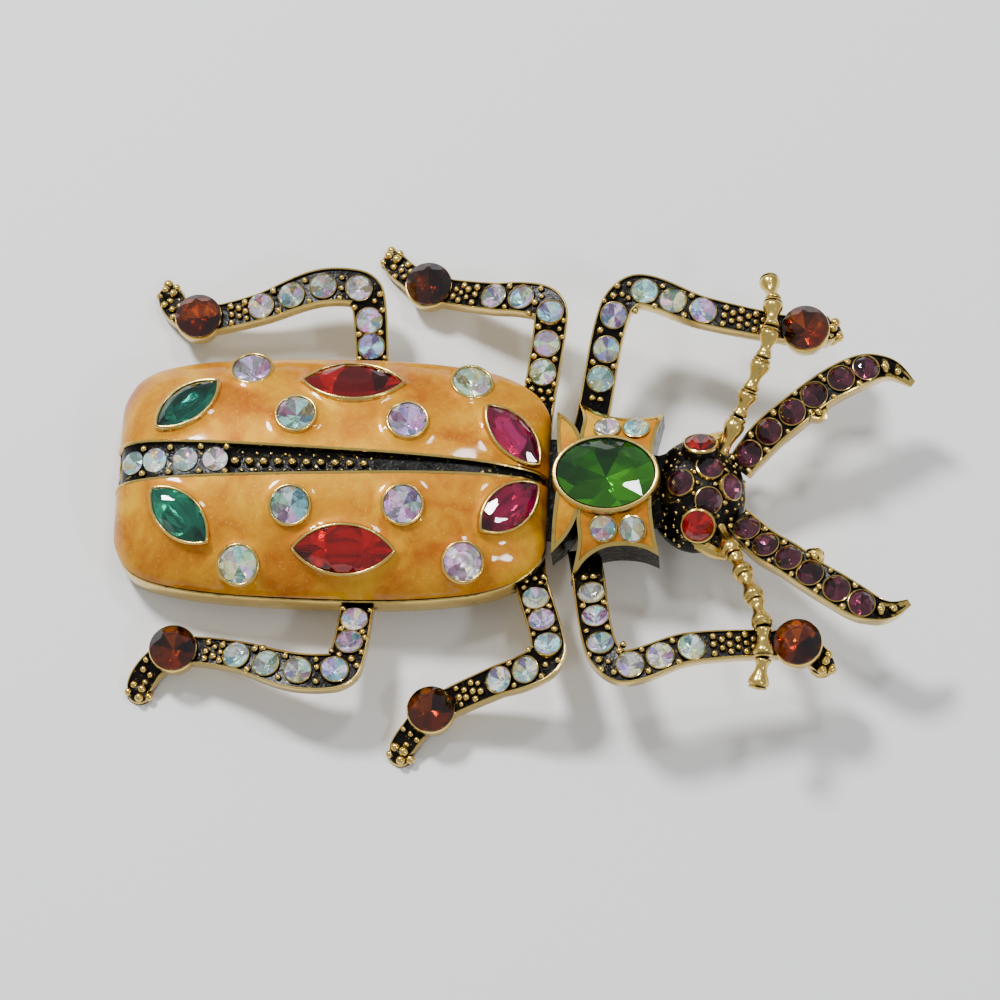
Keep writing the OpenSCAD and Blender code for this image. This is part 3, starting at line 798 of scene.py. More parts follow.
def dark_ground(metal):
    """Black glossy oxide with a little gold worn through."""
    material, tree, shader = new_material("black_oxide")
    flecks = ramp(tree, object_noise(tree, 1900, 4, 0.4), [(0.64, 0.0), (0.74, 1.0)])
    feed(tree, shader, {
        "Base Color": blend_colours(tree, flecks, shade(metal.oxide, 0.25), shade(metal.gold, 0.4)),
        "Metallic": flecks,
        "Specular IOR Level": 0.14,
        "Roughness": ramp(tree, object_noise(tree, 900, 2), [(0.3, 0.14), (0.7, 0.38)]),
        "Normal": bump(tree, object_noise(tree, 2200, 4), 0.7, 0.0001),
    })
    return material


def pearly_enamel(enamel):
    """Glossy orange enamel, marbled and full of fine pearl, with glints of the pearl painted as
    pale dots.
    """
    material, tree, shader = new_material("fired_enamel")
    broad = object_noise(tree, 115, 3, 1.6)
    fine = object_noise(tree, 420, 4, 2.2, 0.6)
    marbled = node(tree, "Mix", {0: 0.22, 2: broad, 3: fine}).outputs[0]
    colour = ramp(tree, marbled, [
        (0.34, tuple(enamel.deep)), (0.50, tuple(enamel.warm)), (0.66, tuple(enamel.pale))])
    place = node(tree, "TexCoord").outputs["Object"]
    # Pale pearl flecks, partly real pearl and partly painted glints: lighter dots in the base
    # colour.
    pearl_fleck_cells = node(tree, "TexVoronoi", {"Vector": place, "Scale": 7000.0}).outputs["Color"]
    sparkle = ramp(tree, pearl_fleck_cells, [(0.82, 0.0), (0.97, 0.25)])
    feed(tree, shader, {
        "Base Color": blend_colours(tree, sparkle, colour, (1.0, 0.62, 0.18)),
        "Metallic": 0.15,
        "Roughness": 0.42,
        "Specular IOR Level": 0.05,
        "Coat Weight": 0.55,
        "Coat Roughness": 0.06,
        "Coat IOR": 1.52,
    })
    return material


def clear_glass(name, colour, mixed):
    """Glass whose facets differ by painted light and shade, each a little lighter or darker. Mixed
    glass takes up the colours and painted brightness of its facets.
    """
    material, tree, shader = new_material(name)
    facet = node(tree, "Attribute", attribute_name="tint").outputs["Color"]
    if mixed:
        tint = blend_colours(tree, 0.5, colour, facet)
    else:
        tint = blend_colours(tree, facet, shade(colour, 0.72), colour)
    feed(tree, shader, {
        "Base Color": tint, "Transmission Weight": 1.0, "Roughness": 0.0, "IOR": 1.56})
    return material


def foil(name, painted_glow, dark=None, bright=None):
    """The mirrored back of a stone, with painted light and shade that vary by facet, and a painted
    emission: a little light of its own, though it is no lamp.
    """
    material, tree, shader = new_material(name)
    tint = node(tree, "Attribute", attribute_name="tint").outputs["Color"]
    # Painted light and shade: each facet's grey picks between the foil's shaded and lit colours.
    if dark:
        tint = blend_colours(tree, tint, dark, bright)
    # Painted emission: the foil gives off light in its facets' colours.
    feed(tree, shader, {
        "Base Color": tint, "Emission Color": tint, "Emission Strength": painted_glow, "Metallic": 1.0,
        "Roughness": 0.12})
    return material


def pin_steel(metal):
    """Steel with a thin gilding, worn pale in places."""
    material, tree, shader = new_material("gilt_steel")
    clouds = object_noise(tree, 500, 3)
    feed(tree, shader, {
        "Base Color": blend_colours(tree, clouds, shade(metal.gold, 0.8), (0.86, 0.74, 0.50)),
        "Metallic": 1.0,
        "Roughness": ramp(tree, object_noise(tree, 1500, 2), [(0.3, 0.22), (0.7, 0.36)]),
        "Normal": bump(tree, object_noise(tree, 2500, 2), 0.2, 0.00004),
    })
    return material


def finish(name):
    """A finished material, made once."""
    scene = bpy.context.scene
    makers = {
        "worn_gold": lambda: antique_gold(scene.brooch_metal),
        "black_oxide": lambda: dark_ground(scene.brooch_metal),
        "fired_enamel": lambda: pearly_enamel(scene.brooch_enamel),
        "gilt_steel": lambda: pin_steel(scene.brooch_metal),
    }
    return bpy.data.materials.get(name) or makers[name]()


# Cut stones

# Each stone's foil in facets of painted shade and of painted light, its glass tint, its foil's
# painted emission
STONE_COLOURS = {
    "green_glass": ((0.002, 0.06, 0.001), (0.20, 0.95, 0.02), (0.86, 1.0, 0.80), 0.24),
    "teal_glass": ((0.002, 0.08, 0.06), (0.07, 0.66, 0.46), (0.84, 1.0, 0.95), 0.16),
    "red_glass": ((0.07, 0.0, 0.0), (0.97, 0.008, 0.008), (1.0, 0.80, 0.80), 0.28),
    "fuchsia_glass": ((0.10, 0.001, 0.02), (0.95, 0.05, 0.30), (1.0, 0.80, 0.92), 0.13),
    "plum_glass": ((0.04, 0.006, 0.014), (0.46, 0.12, 0.22), (1.0, 0.86, 0.92), 0.13),
    "brown_glass": ((0.02, 0.002, 0.0), (0.60, 0.12, 0.008), (1.0, 0.84, 0.76), 0.1),
}
AURORA = [
    (1.0, 0.52, 0.86), (0.45, 0.85, 1.0), (0.60, 1.0, 0.78), (0.66, 0.52, 1.0),
    (1.0, 0.92, 0.50), (1.0, 1.0, 1.0), (0.96, 0.98, 1.0),
]
# Painted light: how bright the facets of an aurora crystal are painted
PAINTED_FACET_LIGHTS = (0.35, 0.7, 1.2)


def cut(outline, t, start, end, keel=0.0):
    """Cuts a facet along an outline's way at t, through two points of (share outwards, height).

    A keel holds the shares of the second point out from the middle, along x.
    """
    spot = outline(t)
    way = outline(t + 0.004) - outline(t - 0.004)
    a = Vector((spot.x * start[0], spot.y * start[0], start[1]))
    inner = max(-keel, min(keel, spot.x)) * (1 - end[0])
    b = Vector((spot.x * end[0] + inner, spot.y * end[0], end[1]))
    normal = way.to_3d().cross(b - a).normalized()
    if normal.dot(spot.to_3d()) < 0:
        normal = -normal
    bpy.ops.mesh.select_all(action="SELECT")
    bpy.ops.mesh.bisect(
        plane_co=a, plane_no=normal, use_fill=True, clear_outer=True, threshold=0.00001)


def cut_stone(name, outline, count, mains, stones, keel=0.0):
    """A stone of unit width, cut from a blank: mains, girdle facets, stars and a pavilion.

    The girdle facets are steeper than the mains, and the stars are flatter.
    """
    table, crown, depth = stones.table, stones.crown, stones.pavilion
    girdle, ring, below, star = 0.012, 0.2, 0.5, 0.2
    steep, steep_below, flat = 1.16, 1.10, 0.55
    top = girdle + crown
    slope = crown / (1 - table)
    drop = depth - girdle
    obj = prism(name, [outline(i / count) for i in range(count)], -depth - 0.1, top)
    activate(obj)
    bpy.ops.object.mode_set(mode="EDIT")
    for k in range(mains):
        cut(outline, k / mains, (1, girdle), (table, top))
        cut(outline, k / mains, (1, -girdle), (0, -depth), keel)
    for k in range(2 * mains):
        t = (k + 0.5) / (2 * mains)
        cut(outline, t, (1, girdle), (1 - ring, girdle + ring * slope * steep))
        cut(outline, t, (1, -girdle), (1 - below, -girdle - below * drop * steep_below), keel)
    edge = table * math.cos(math.pi / mains)
    for k in range(mains):
        cut(outline, (k + 0.5) / mains, (edge + star, top - star * slope * flat), (edge, top))
    bpy.ops.object.mode_set(mode="OBJECT")
    for face in obj.data.polygons:
        face.material_index = 1 if face.center.z < -girdle * 1.01 else 0
    return clean(obj)


def in_order(model):
    """Number and height of each facet of a model, in an order that is the same in each run."""
    way = Vector((0.83, 0.47, 0.29))
    faces = sorted(model.data.polygons, key=lambda face: face.center.dot(way))
    return [(face.index, face.center.z) for face in faces]


def tint_facets_and_paint_light(obj, facets, seed, aurora):
    """Gives each facet its own tint and painted light: pastels at painted brightness on aurora
    crystals, and on the rest a grey mix factor of painted light and shade, lighter on one side.

    The table of an aurora crystal stays white.
    """
    chance = random.Random(seed)
    tints = obj.data.color_attributes.new("tint", "FLOAT_COLOR", "CORNER")
    lean = chance.random() * 2 * math.pi
    main = chance.sample(AURORA, 3)
    top = max(level for _, level in facets)
    for index, level in facets:
        face = obj.data.polygons[index]
        across = face.normal.xy
        turn = lean + (math.atan2(across.y, across.x) if across.length > 0.01 else 0)
        if aurora:
            zone = main[int(turn / (2 * math.pi) * 3 + 6) % 3]
            tint = zone if chance.random() < 0.6 else chance.choice(AURORA)
            # Painted light: each facet of an aurora crystal is painted at one of a few brightness
            # levels.
            colour = (*shade(tint, chance.choice(PAINTED_FACET_LIGHTS)), 1)
        else:
            # Painted light and shade: the grey is lighter on one side of the stone and varies at
            # random from facet to facet.
            grey = min(1, max(0, 0.42 + 0.36 * math.cos(turn) + 0.9 * (chance.random() - 0.5)))
            colour = (grey, grey, grey, 1)
        if aurora and level == top:
            colour = (1, 1, 1, 1)
        for corner in face.loop_indices:
            tints.data[corner].color = colour
    return obj


class StoneBox:
    """Models of the cut stones, made once and copied into their seats."""

    def __init__(self, stones):
        self.stones = stones
        self.models = {}
        self.made = 0

    def model(self, shape, ratio):
        key = (shape, round(ratio, 3))
        if key not in self.models:
            outline, count, keel = {
                "navette": (lens_at(ratio, 1), 48, 0.4),
                "oval": (oval_at(ratio, 1), 64, 0.0),
                "round": (circle_at(1), 32, 0.0),
            }[shape]
            self.models[key] = cut_stone(
                shape, outline, count, mains=8, stones=self.stones, keel=keel)
        return self.models[key]

    def stone(self, shape, length, width, seat, aurora=False, height=1.0):
        self.made += 1
        seed = self.stones.seed * 1000 + self.made
        turn = random.Random(seed).random() * math.pi if shape == "round" else 0
        size = Matrix.Diagonal((width, width, width * height, 1)) @ Matrix.Rotation(turn, 4, "Z")
        model = self.model(shape, length / width)
        return tint_facets_and_paint_light(copy_of(model, seat @ size), in_order(model), seed, aurora)

    def clear(self):
        remove(*self.models.values())
        self.models.clear()


def set_stones(stones, slot, nodes):
    """Finishes stones as one piece that stands for nodes."""
    if slot == "aurora_crystal":
        glass = bpy.data.materials.get("crystal") or clear_glass("crystal", (1.0, 1.0, 1.0), True)
        # The crystal foil gives off a painted emission, light of its own.
        back = bpy.data.materials.get("crystal_foil") or foil("crystal_foil", 0.42)
    else:
        dark, bright, tint, painted_glow = STONE_COLOURS[slot]
        cut_name = slot.replace("glass", "cut")
        foil_name = slot.replace("glass", "foil")
        glass = bpy.data.materials.get(cut_name) or clear_glass(cut_name, tint, False)
        back = bpy.data.materials.get(foil_name) or foil(foil_name, painted_glow, dark, bright)
    piece = join([dress(stone, [glass, back]) for stone in stones], nodes[0] + "_cut")
    return finish_piece(piece, [glass, back], nodes, angle=1)


# Bars of the legs, mandibles and antennae


def frames(rows):
    """Points of a line through rows, each with the ways to its side and up from it."""
    points = [Vector(row[:3]) for row in rows]
    found = []
    for i, point in enumerate(points):
        way = (points[min(i + 1, len(points) - 1)] - points[max(i - 1, 0)]).normalized()
        side = UP.cross(way).normalized()
        found.append((point, side, way.cross(side)))
    return found


def tube(name, rows, count):
    """A round bar through rows of x, y, z and radius."""
    turns = [2 * math.pi * k / count for k in range(count + 1)]
    rings = []
    for row, (point, side, up) in zip(rows, frames(rows)):
        rings.append([point + row[3] * (side * math.cos(t) + up * math.sin(t)) for t in turns])
    return skin(name, rings, fill=True)


def sweep(name, rows, width, profile):
    """A bar through rows of x, y, z and width share.

    Its profile is in shares of the half width and in heights, and where the bar is narrower than a
    share of its width it grows thin too.
    """
    points, sides, ups = zip(*frames(rows))
    narrow = 0.62
    columns = []
    for share, height in profile + profile[:1]:
        offsets = [share * row[3] * width / 2 for row in rows]
        line = unfold([p + side * d for p, side, d in zip(points, sides, offsets)], points, offsets)
        columns.append([
            p + up * height * min(1, row[3] / narrow) for p, up, row in zip(line, ups, rows)
        ])
    return skin(name, [list(row) for row in zip(*columns)], fill=True)


def unfold(line, points, offsets):
    """Draws the points of a side line that fold over inside a bend to where it crosses itself."""
    fine = []
    for p, offset in zip(line, offsets):
        near = min((p - q).length for q in points)
        fine.append(abs(offset) < 0.4 or near > abs(offset) * 0.94)
    out = list(line)
    i = 0
    while i < len(line):
        j = i
        while j < len(line) and not fine[j]:
            j += 1
        if 0 < i < j < len(line):
            for k in range(i, j):
                out[k] = line[i - 1].lerp(line[j], (k - i + 1) / (j - i + 1))
        i = max(i + 1, j)
    return out


def rimmed(thickness, rim=0.14):
    """Section of a leg: a floor between two thin raised rims, on a rounded back."""
    half = [
        (0.5, -thickness), (0.88, -thickness + 0.25), (0.99, -thickness + 0.8), (1.0, -0.1),
        (0.985, rim * 0.7), (0.945, rim), (0.89, rim * 0.8), (0.855, -0.16), (0.45, -0.2),
    ]
    return [(-x, z) for x, z in half] + [(0, -0.2)] + [(x, z) for x, z in reversed(half)]


def darken_floor(obj, rows, width):
    """Darkens the faces of a rimmed bar that look up and lie between its rims."""
    points = [Vector(row[:3]) for row in rows]

    def on_floor(centre):
        nearest = min(range(len(points)), key=lambda k: (points[k] - centre).length)
        gap = (points[nearest].xy - centre.xy).length
        room = rows[nearest][3] * width / 2 - RIM_BAND
        return centre.z > points[nearest].z - FLOOR_DROP and gap < room

    return darken(obj, on_floor)


def scatter(rows, width, keep_out, pitch, seed, start, end):
    """Places for granules over the floor of a rimmed bar, clear of its stones.

    They lie in rows across it, between two shares of its length.
    """
    chance = random.Random(seed)
    fine = smooth(rows, step=0.1)
    length = way_length(fine)
    places = []
    gone, lane, due = 0.0, 0, start * length
    for row, after in zip(fine, fine[1:]):
        spot = Vector(row[:3])
        way = Vector(after[:3]) - spot
        gone += way.length
        if gone < due or gone > end * length:
            continue
        due = gone + pitch * 0.86
        lane = 1 - lane
        side = UP.cross(way).normalized()
        room = row[3] * width / 2 * 0.80
        for k in range(-4, 5):
            across = (k + 0.5 * lane) * pitch
            if abs(across) > room:
                continue
            shift = Vector((chance.uniform(-0.07, 0.07), chance.uniform(-0.07, 0.07), -0.04))
            place = spot + side * across + shift
            if all((place.xy - centre.xy).length > radius for centre, radius in keep_out):
                places.append((place, 0.85 + 0.3 * chance.random()))
    return places


def pairs(seats, out):
    """Places for granules at both rims between neighbouring stones."""
    chance = random.Random(3)
    places = []
    for a, b in zip(seats, seats[1:]):
        a, b = a.translation, b.translation
        way = UP.cross(b - a).normalized()
        for side in (-1, 1):
            spot = (a + b) / 2 + way * side * (out + chance.uniform(-0.1, 0.1))
            places.append((spot + Vector((0, 0, 0.02)), chance.uniform(0.85, 1.15)))
    return places


def stone_cup(diameter):
    """Rounded gold cup of a small stone on a leg or mandible."""
    return band("cup", circle_at(diameter), [
        (0.0, -0.5), (0.0, 0.07), (-0.04, 0.12), (0.03, 0.18), (0.10, 0.14), (0.14, 0.0),
        (0.14, -0.5)], count=36)


class BROOCH_OT_body(bpy.types.Operator):
    """Side wall, hollow back, and the groove with its lips, beads and settings"""

    bl_idname = "brooch.body"
    bl_label = "Body"

    def execute(self, context):
        finish_metal([self.wall(), *self.bars(), self.groove(), self.beads()], "body_metal")
        return {"FINISHED"}

    def wall(self):
        """Side wall round the body, with its rounded upper and lower edges."""
        plan = [Vector((wing_x(s), half_w(s))) for s in eased(72)]
        plan += [Vector((p.x, -p.y)) for p in reversed(plan)]
        middle = TAIL_X + WING_L / 2
        profile = [
            (-1.8, 6.0), (-1.8, 3.62), (-1.7, 3.5), (-0.25, 3.5), (-0.06, 3.6), (0, 3.85), (0, 6.2),
            (-0.04, 6.38), (-0.15, 6.47), (-0.3, 6.44), (-0.5, 6.3), (-1.6, 6.3),
        ]
        rows = []
        for distance, height in profile:
            grow_x = 1 + 2 * distance / WING_L
            grow_y = 1 + 2 * distance / WING_W
            rows.append([
                Vector(((p.x - middle) * grow_x + middle, p.y * grow_y, height))
                for p in plan + plan[:1]
            ])
        return skin("wall", rows, fill=True)

    def bars(self):
        """Plain bars of the hollow back."""
        bottom, thick = 3.52, 2.9
        made = []
        places = [
            ((TAIL_X + 1.2, -2.2), (SHOULDER_X - 2, 2.2)),
            ((wing_x(0.575) - 3, -12), (wing_x(0.575) + 2, 12)),
            ((wing_x(0.9), -9.4), (SHOULDER_X - 1.2, 9.4)),
        ]
        for low, high in places:
            size = (high[0] - low[0], high[1] - low[1], thick)
            middle = ((low[0] + high[0]) / 2, (low[1] + high[1]) / 2, bottom + thick / 2)
            bar = settle(primitive("cube", "bar", size=1, location=middle, scale=size))
            modifier = bar.modifiers.new("round", "BEVEL")
            modifier.width = 0.25
            modifier.segments = 3
            made.append(bake_modifiers(bar))
        return made

    def groove(self):
        """Dark groove between its gold lips: shallow under the tail's crystals, then deeper."""
        step_at, step_run = 0.262, 0.012
        rows = []
        for share in eased(150):
            s = min(0.985, share)
            x = wing_x(s)
            slope = dome_slope(min(x, SHOULDER_X - 0.4), 0)[0] if s > 0.01 else 3.5
            up = Vector((-slope, 0, 1)).normalized()
            half = groove_half(s)
            step = min(1, max(0, (s - step_at) / step_run))
            depth = TAIL_STEP + (GROOVE_D - TAIL_STEP) * step * step * (3 - 2 * step)
            depth = min(depth, 0.55 * half + 0.25)
            waver = 0.05 * math.sin(246 * s) * math.sin(102 * s)
            lip = LIP_W + waver
            profile = [
                (half + lip, -1.4), (half + lip, 0.0), (half + lip * 0.86, 0.10),
                (half + lip * 0.5, 0.14), (half + lip * 0.12, 0.09), (half, -0.03),
                (half - 0.03, -depth + 0.06), (half * 0.9, -depth), (0, -depth - 0.03),
            ]
            across = [(-y, z) for y, z in profile] + [(y, z) for y, z in reversed(profile[:-1])]
            rows.append([Vector((x, y, dome_z(x, y))) + up * z for y, z in across])
        obj = face_up(skin("groove", rows))
        darken(obj, lambda c: abs(c.y) < groove_half((c.x - TAIL_X) / WING_L) * 0.995)
        seats = [groove_seat(s, TAIL_STEP) for s in TAIL_CRYSTALS]
        holes = bores(seats, radius=1.16, low=-1.05, high=1.2)
        return combine(obj, holes, "DIFFERENCE", "EXACT")

    def beads(self):
        """The groove's beads with small ones beside them, and granules between the crystals."""
        places = []
        for s in BEADS:
            size = 1.02 - 0.5 * (s - BEADS[0])
            seat = groove_seat(s, GROOVE_D - 0.22)
            places.append((seat.translation, size))
            for side in (-1, 1):
                spot = Vector((0.7, side * groove_half(s) * 0.62, -0.2))
                places.append((seat @ spot, size * 0.4))
        for a, b in zip(TAIL_CRYSTALS, TAIL_CRYSTALS[1:] + (0.29,)):
            seat = groove_seat((a + b) / 2, TAIL_STEP)
            for side in (-1, 1):
                places.append((seat @ Vector((0, side * 1.32, 0.12)), 0.72))
        return balls(places, 1.0, segments=12, rings=8)


class BROOCH_OT_wings(bpy.types.Operator):
    """Enamel of the two wing covers, climbing a little at each setting"""

    bl_idname = "brooch.wings"
    bl_label = "Wing enamel"

    def execute(self, context):
        for name, side in SIDES:
            settings = []
            for place, size in ((GREEN, NAVETTE), (RED, RED_NAVETTE), (FUCHSIA, NAVETTE)):
                settings.append((wing_seat(place, side).inverted(), lens_gap(*size)))
            for place in WING_ROUNDS:
                settings.append((wing_seat(place, side).inverted(), circle_gap(WING_STONE_D)))
            self.wing(context, name, side, settings)
        return {"FINISHED"}

    def wing(self, context, name, side, settings):
        """One wing's enamel: a net over the dome, open inside the settings, with a wall below."""
        enamel = context.scene.brooch_enamel
        bezel = context.scene.brooch_metal.bezel
        along, across = 230, 66
        edge, proud, lap, fade = 0.12, 0.05, 0.06, 0.42
        rows, hidden = [], set()
        for s in eased(along):
            x = wing_x(s)
            start = groove_half(s) + LIP_W * 0.8
            row = []
            for j in range(across + 1):
                share = math.sin(math.pi / 2 * j / across)
                y = side * (start + (half_w(s) - edge - start) * share)
                point = Vector((x, y, dome_z(x, y) + proud))
                slope = dome_slope(x, y) if 0.02 < s < 0.98 else (0, 0)
                up = Vector((-slope[0], -slope[1], 1)).normalized()
                rise = 0
                for inverse, gap in settings:
                    spot = inverse @ point
                    if max(abs(spot.x), abs(spot.y)) < 8 and abs(spot.z) < 2.5:
                        distance = gap(spot.x, spot.y)
                        if distance < -lap:
                            hidden.add(len(rows) * (across + 1) + j)
                        elif distance > lap:
                            climb = math.exp(-max(0, distance - bezel) / fade)
                            rise = max(rise, enamel.meniscus * climb)
                row.append(point + up * rise)
            rows.append(row)
        obj = net(f"wing_cover_{name}", rows)
        bpy.ops.object.mode_set(mode="EDIT")
        bpy.ops.mesh.select_mode(type="VERT")
        bpy.ops.mesh.select_all(action="DESELECT")
        bpy.ops.object.mode_set(mode="OBJECT")
        for index in hidden:
            obj.data.vertices[index].select = True
        bpy.ops.object.mode_set(mode="EDIT")
        bpy.ops.mesh.delete(type="VERT")
        bpy.ops.object.mode_set(mode="OBJECT")
        face_up(clean(obj))
        modifier = obj.modifiers.new("wall", "SOLIDIFY")
        modifier.thickness = enamel.thickness
        modifier.offset = -1
        bake_modifiers(obj)
        finish_piece(
            obj, [finish("fired_enamel")], [f"enamel_wing_{name}"], angle=50)


class BROOCH_OT_wing_settings(bpy.types.Operator):
    """Gold settings of the wing stones"""

    bl_idname = "brooch.wing_settings"
    bl_label = "Wing settings"

    def execute(self, context):
        thick = context.scene.brooch_metal.bezel
        profile = [
            (0.02, -1.7), (0.02, 0.42), (-0.05, 0.50), (-0.03, 0.58), (thick * 0.35, 0.66),
            (thick * 0.75, 0.62), (thick, 0.46), (thick + 0.04, 0.1), (thick + 0.06, -1.7),
        ]
        navette = band("navette_setting", lens_at(*NAVETTE), profile, count=56)
        red = band("red_setting", lens_at(*RED_NAVETTE), profile, count=64)
        plain = band("round_setting", circle_at(WING_STONE_D), profile, count=48)
        made = []
        for _, side in SIDES:
            for place, model in ((GREEN, navette), (RED, red), (FUCHSIA, navette)):
                made.append(copy_of(model, wing_seat(place, side)))
            for place in WING_ROUNDS:
                made.append(copy_of(plain, wing_seat(place, side)))
        remove(navette, red, plain)
        finish_metal(made, "wing_settings", angle=50, dark=False)
        return {"FINISHED"}


class BROOCH_OT_collar(bpy.types.Operator):
    """Horned collar plate with its lobes, gold edges, enamel cells and oval setting"""

    bl_idname = "brooch.collar"
    bl_label = "Collar"

    def execute(self, context):
        metal = []
        for name, side in SIDES:
            covers = []
            for table in (PLATE, LOBE):
                plan = self.plan(table, side)
                block = prism("block", plan, UNDER_Z, COLLAR_TOP + 4)
                block = self.arched(block, COLLAR_R, "INTERSECT")
                cell = prism("cell", self.inset(plan, 0.36), UNDER_Z + 0.5, COLLAR_TOP + 5)
                combine(block, self.arched(cell, COLLAR_R - 0.5, "DIFFERENCE"), "DIFFERENCE")
                holes = bores(collar_seats(), radius=1.2, low=-1.05, high=2)
                combine(block, holes, "DIFFERENCE")
                hole = self.oval_hole(grow=-0.05, low=COLLAR_TOP - 2.9)
                metal.append(combine(block, hole, "DIFFERENCE"))
                cover = prism("cover", self.inset(plan, 0.38), UNDER_Z + 0.5, COLLAR_TOP + 5)
                cover = self.arched(cover, COLLAR_R - 0.05, "INTERSECT")
                covers.append(self.arched(cover, COLLAR_R - 0.48, "DIFFERENCE"))
            cover = join(covers, f"collar_cover_{name}")
            combine(cover, self.oval_hole(grow=0.2, low=UNDER_Z), "DIFFERENCE")
            holes = bores(collar_seats(), radius=1.3, low=-0.5, high=2)
            combine(cover, holes, "DIFFERENCE")
            modifier = cover.modifiers.new("round", "BEVEL")
            modifier.width = 0.1
            modifier.segments = 2
            modifier.angle_limit = math.radians(50)
            bake_modifiers(cover)
            finish_piece(
                cover, [finish("fired_enamel")], [f"enamel_collar_{name}"])
        block = join(metal, "collar_block")
        # Painted reflection: the collar's side walls below the top edge take the black oxide,
        # standing in for the dark reflection of the surroundings; the cell floors under the enamel
        # darken with them.
        darken(block, lambda c: c.z < collar_z(c.y) - 0.45)
        rim = band("oval_setting", oval_at(*OVAL), [
            (0.0, -3.2), (0.0, -0.12), (-0.12, -0.05), (-0.14, 0.08), (0.0, 0.18), (0.18, 0.20),
            (0.34, 0.12), (0.42, -0.1), (0.44, -3.2)], count=72)
        darken(rim, lambda c: (c.x / OVAL[0]) ** 2 + (c.y / OVAL[1]) ** 2 < 0.249)
        rim.data.transform(Matrix.Translation((OVAL_X, 0, COLLAR_TOP)))
        neck = settle(primitive(
            "cube", "neck", size=1, location=(SHOULDER_X - 0.5, 0, UNDER_Z + 1.4),
            scale=(5, 10, 2.75)))
        darken(neck, lambda c: True)
        cup = band("cup", circle_at(SMALL_D), [
            (0.0, -0.4), (0.0, 0.06), (-0.04, 0.12), (0.06, 0.18), (0.16, 0.12),
            (0.2, -0.4)], count=28)
        finish_metal([block, rim, neck, *copies(cup, collar_seats())], "collar_metal")
        return {"FINISHED"}

    def plan(self, table, side):
        """Plan of a plate, smooth between its sharp corners."""
        points = []
        run = [table[0]]
        for row in table[1:]:
            run.append(row)
            if row[2]:
                corners = [
                    (p[0] * COLLAR_L + OVAL_X, side * p[1] * COLLAR_HALF_W, 0) for p in run]
                points += smooth(corners, step=0.35)[:-1]
                run = [row]
        points.append((table[-1][0] * COLLAR_L + OVAL_X, 0, 0))
        return [Vector(p[:2]) for p in points]

    def inset(self, plan, distance):
        """The plan drawn in by a distance, without the points that fold over."""
        count = len(plan)
        area = sum(plan[i].cross(plan[(i + 1) % count]) for i in range(count))
        turn = 1 if area > 0 else -1
        kept = []
        for i, point in enumerate(plan):
            before = (point - plan[i - 1]).normalized()
            after = (plan[(i + 1) % count] - point).normalized()
            normal = turn * Vector((-(before + after).y, (before + after).x))
            if normal.length < 0.1:
                continue
            normal.normalize()
            flat = turn * Vector((-before.y, before.x))
            spot = point + normal * distance / max(0.2, normal.dot(flat))
            if self.reach(plan, spot) > distance * 0.97:
                kept.append(spot)
        return kept

    def reach(self, plan, spot):
        """Distance of a spot from the plan's edges."""
        nearest = 100
        for a, b in zip(plan, plan[1:] + plan[:1]):
            way = b - a
            if way.length > 0:
                t = min(1, max(0, (spot - a).dot(way) / way.length_squared))
                nearest = min(nearest, (a + way * t - spot).length)
        return nearest

    def arched(self, obj, radius, operation):
        """Combines a block with a drum along the body, whose top is the collar's arch."""
        drum = settle(primitive(
            "cylinder", "drum", vertices=160, radius=radius, depth=40,
            location=(0, 0, COLLAR_TOP - COLLAR_R), rotation=(0, math.pi / 2, 0)))
        return combine(obj, drum, operation)

    def oval_hole(self, grow, low):
        plan = [outside(oval_at(*OVAL), i / 64, grow) for i in range(64)]
        hole = prism("hole", plan, low, COLLAR_TOP + 5)
        hole.data.transform(Matrix.Translation((OVAL_X, 0, 0)))
        return hole


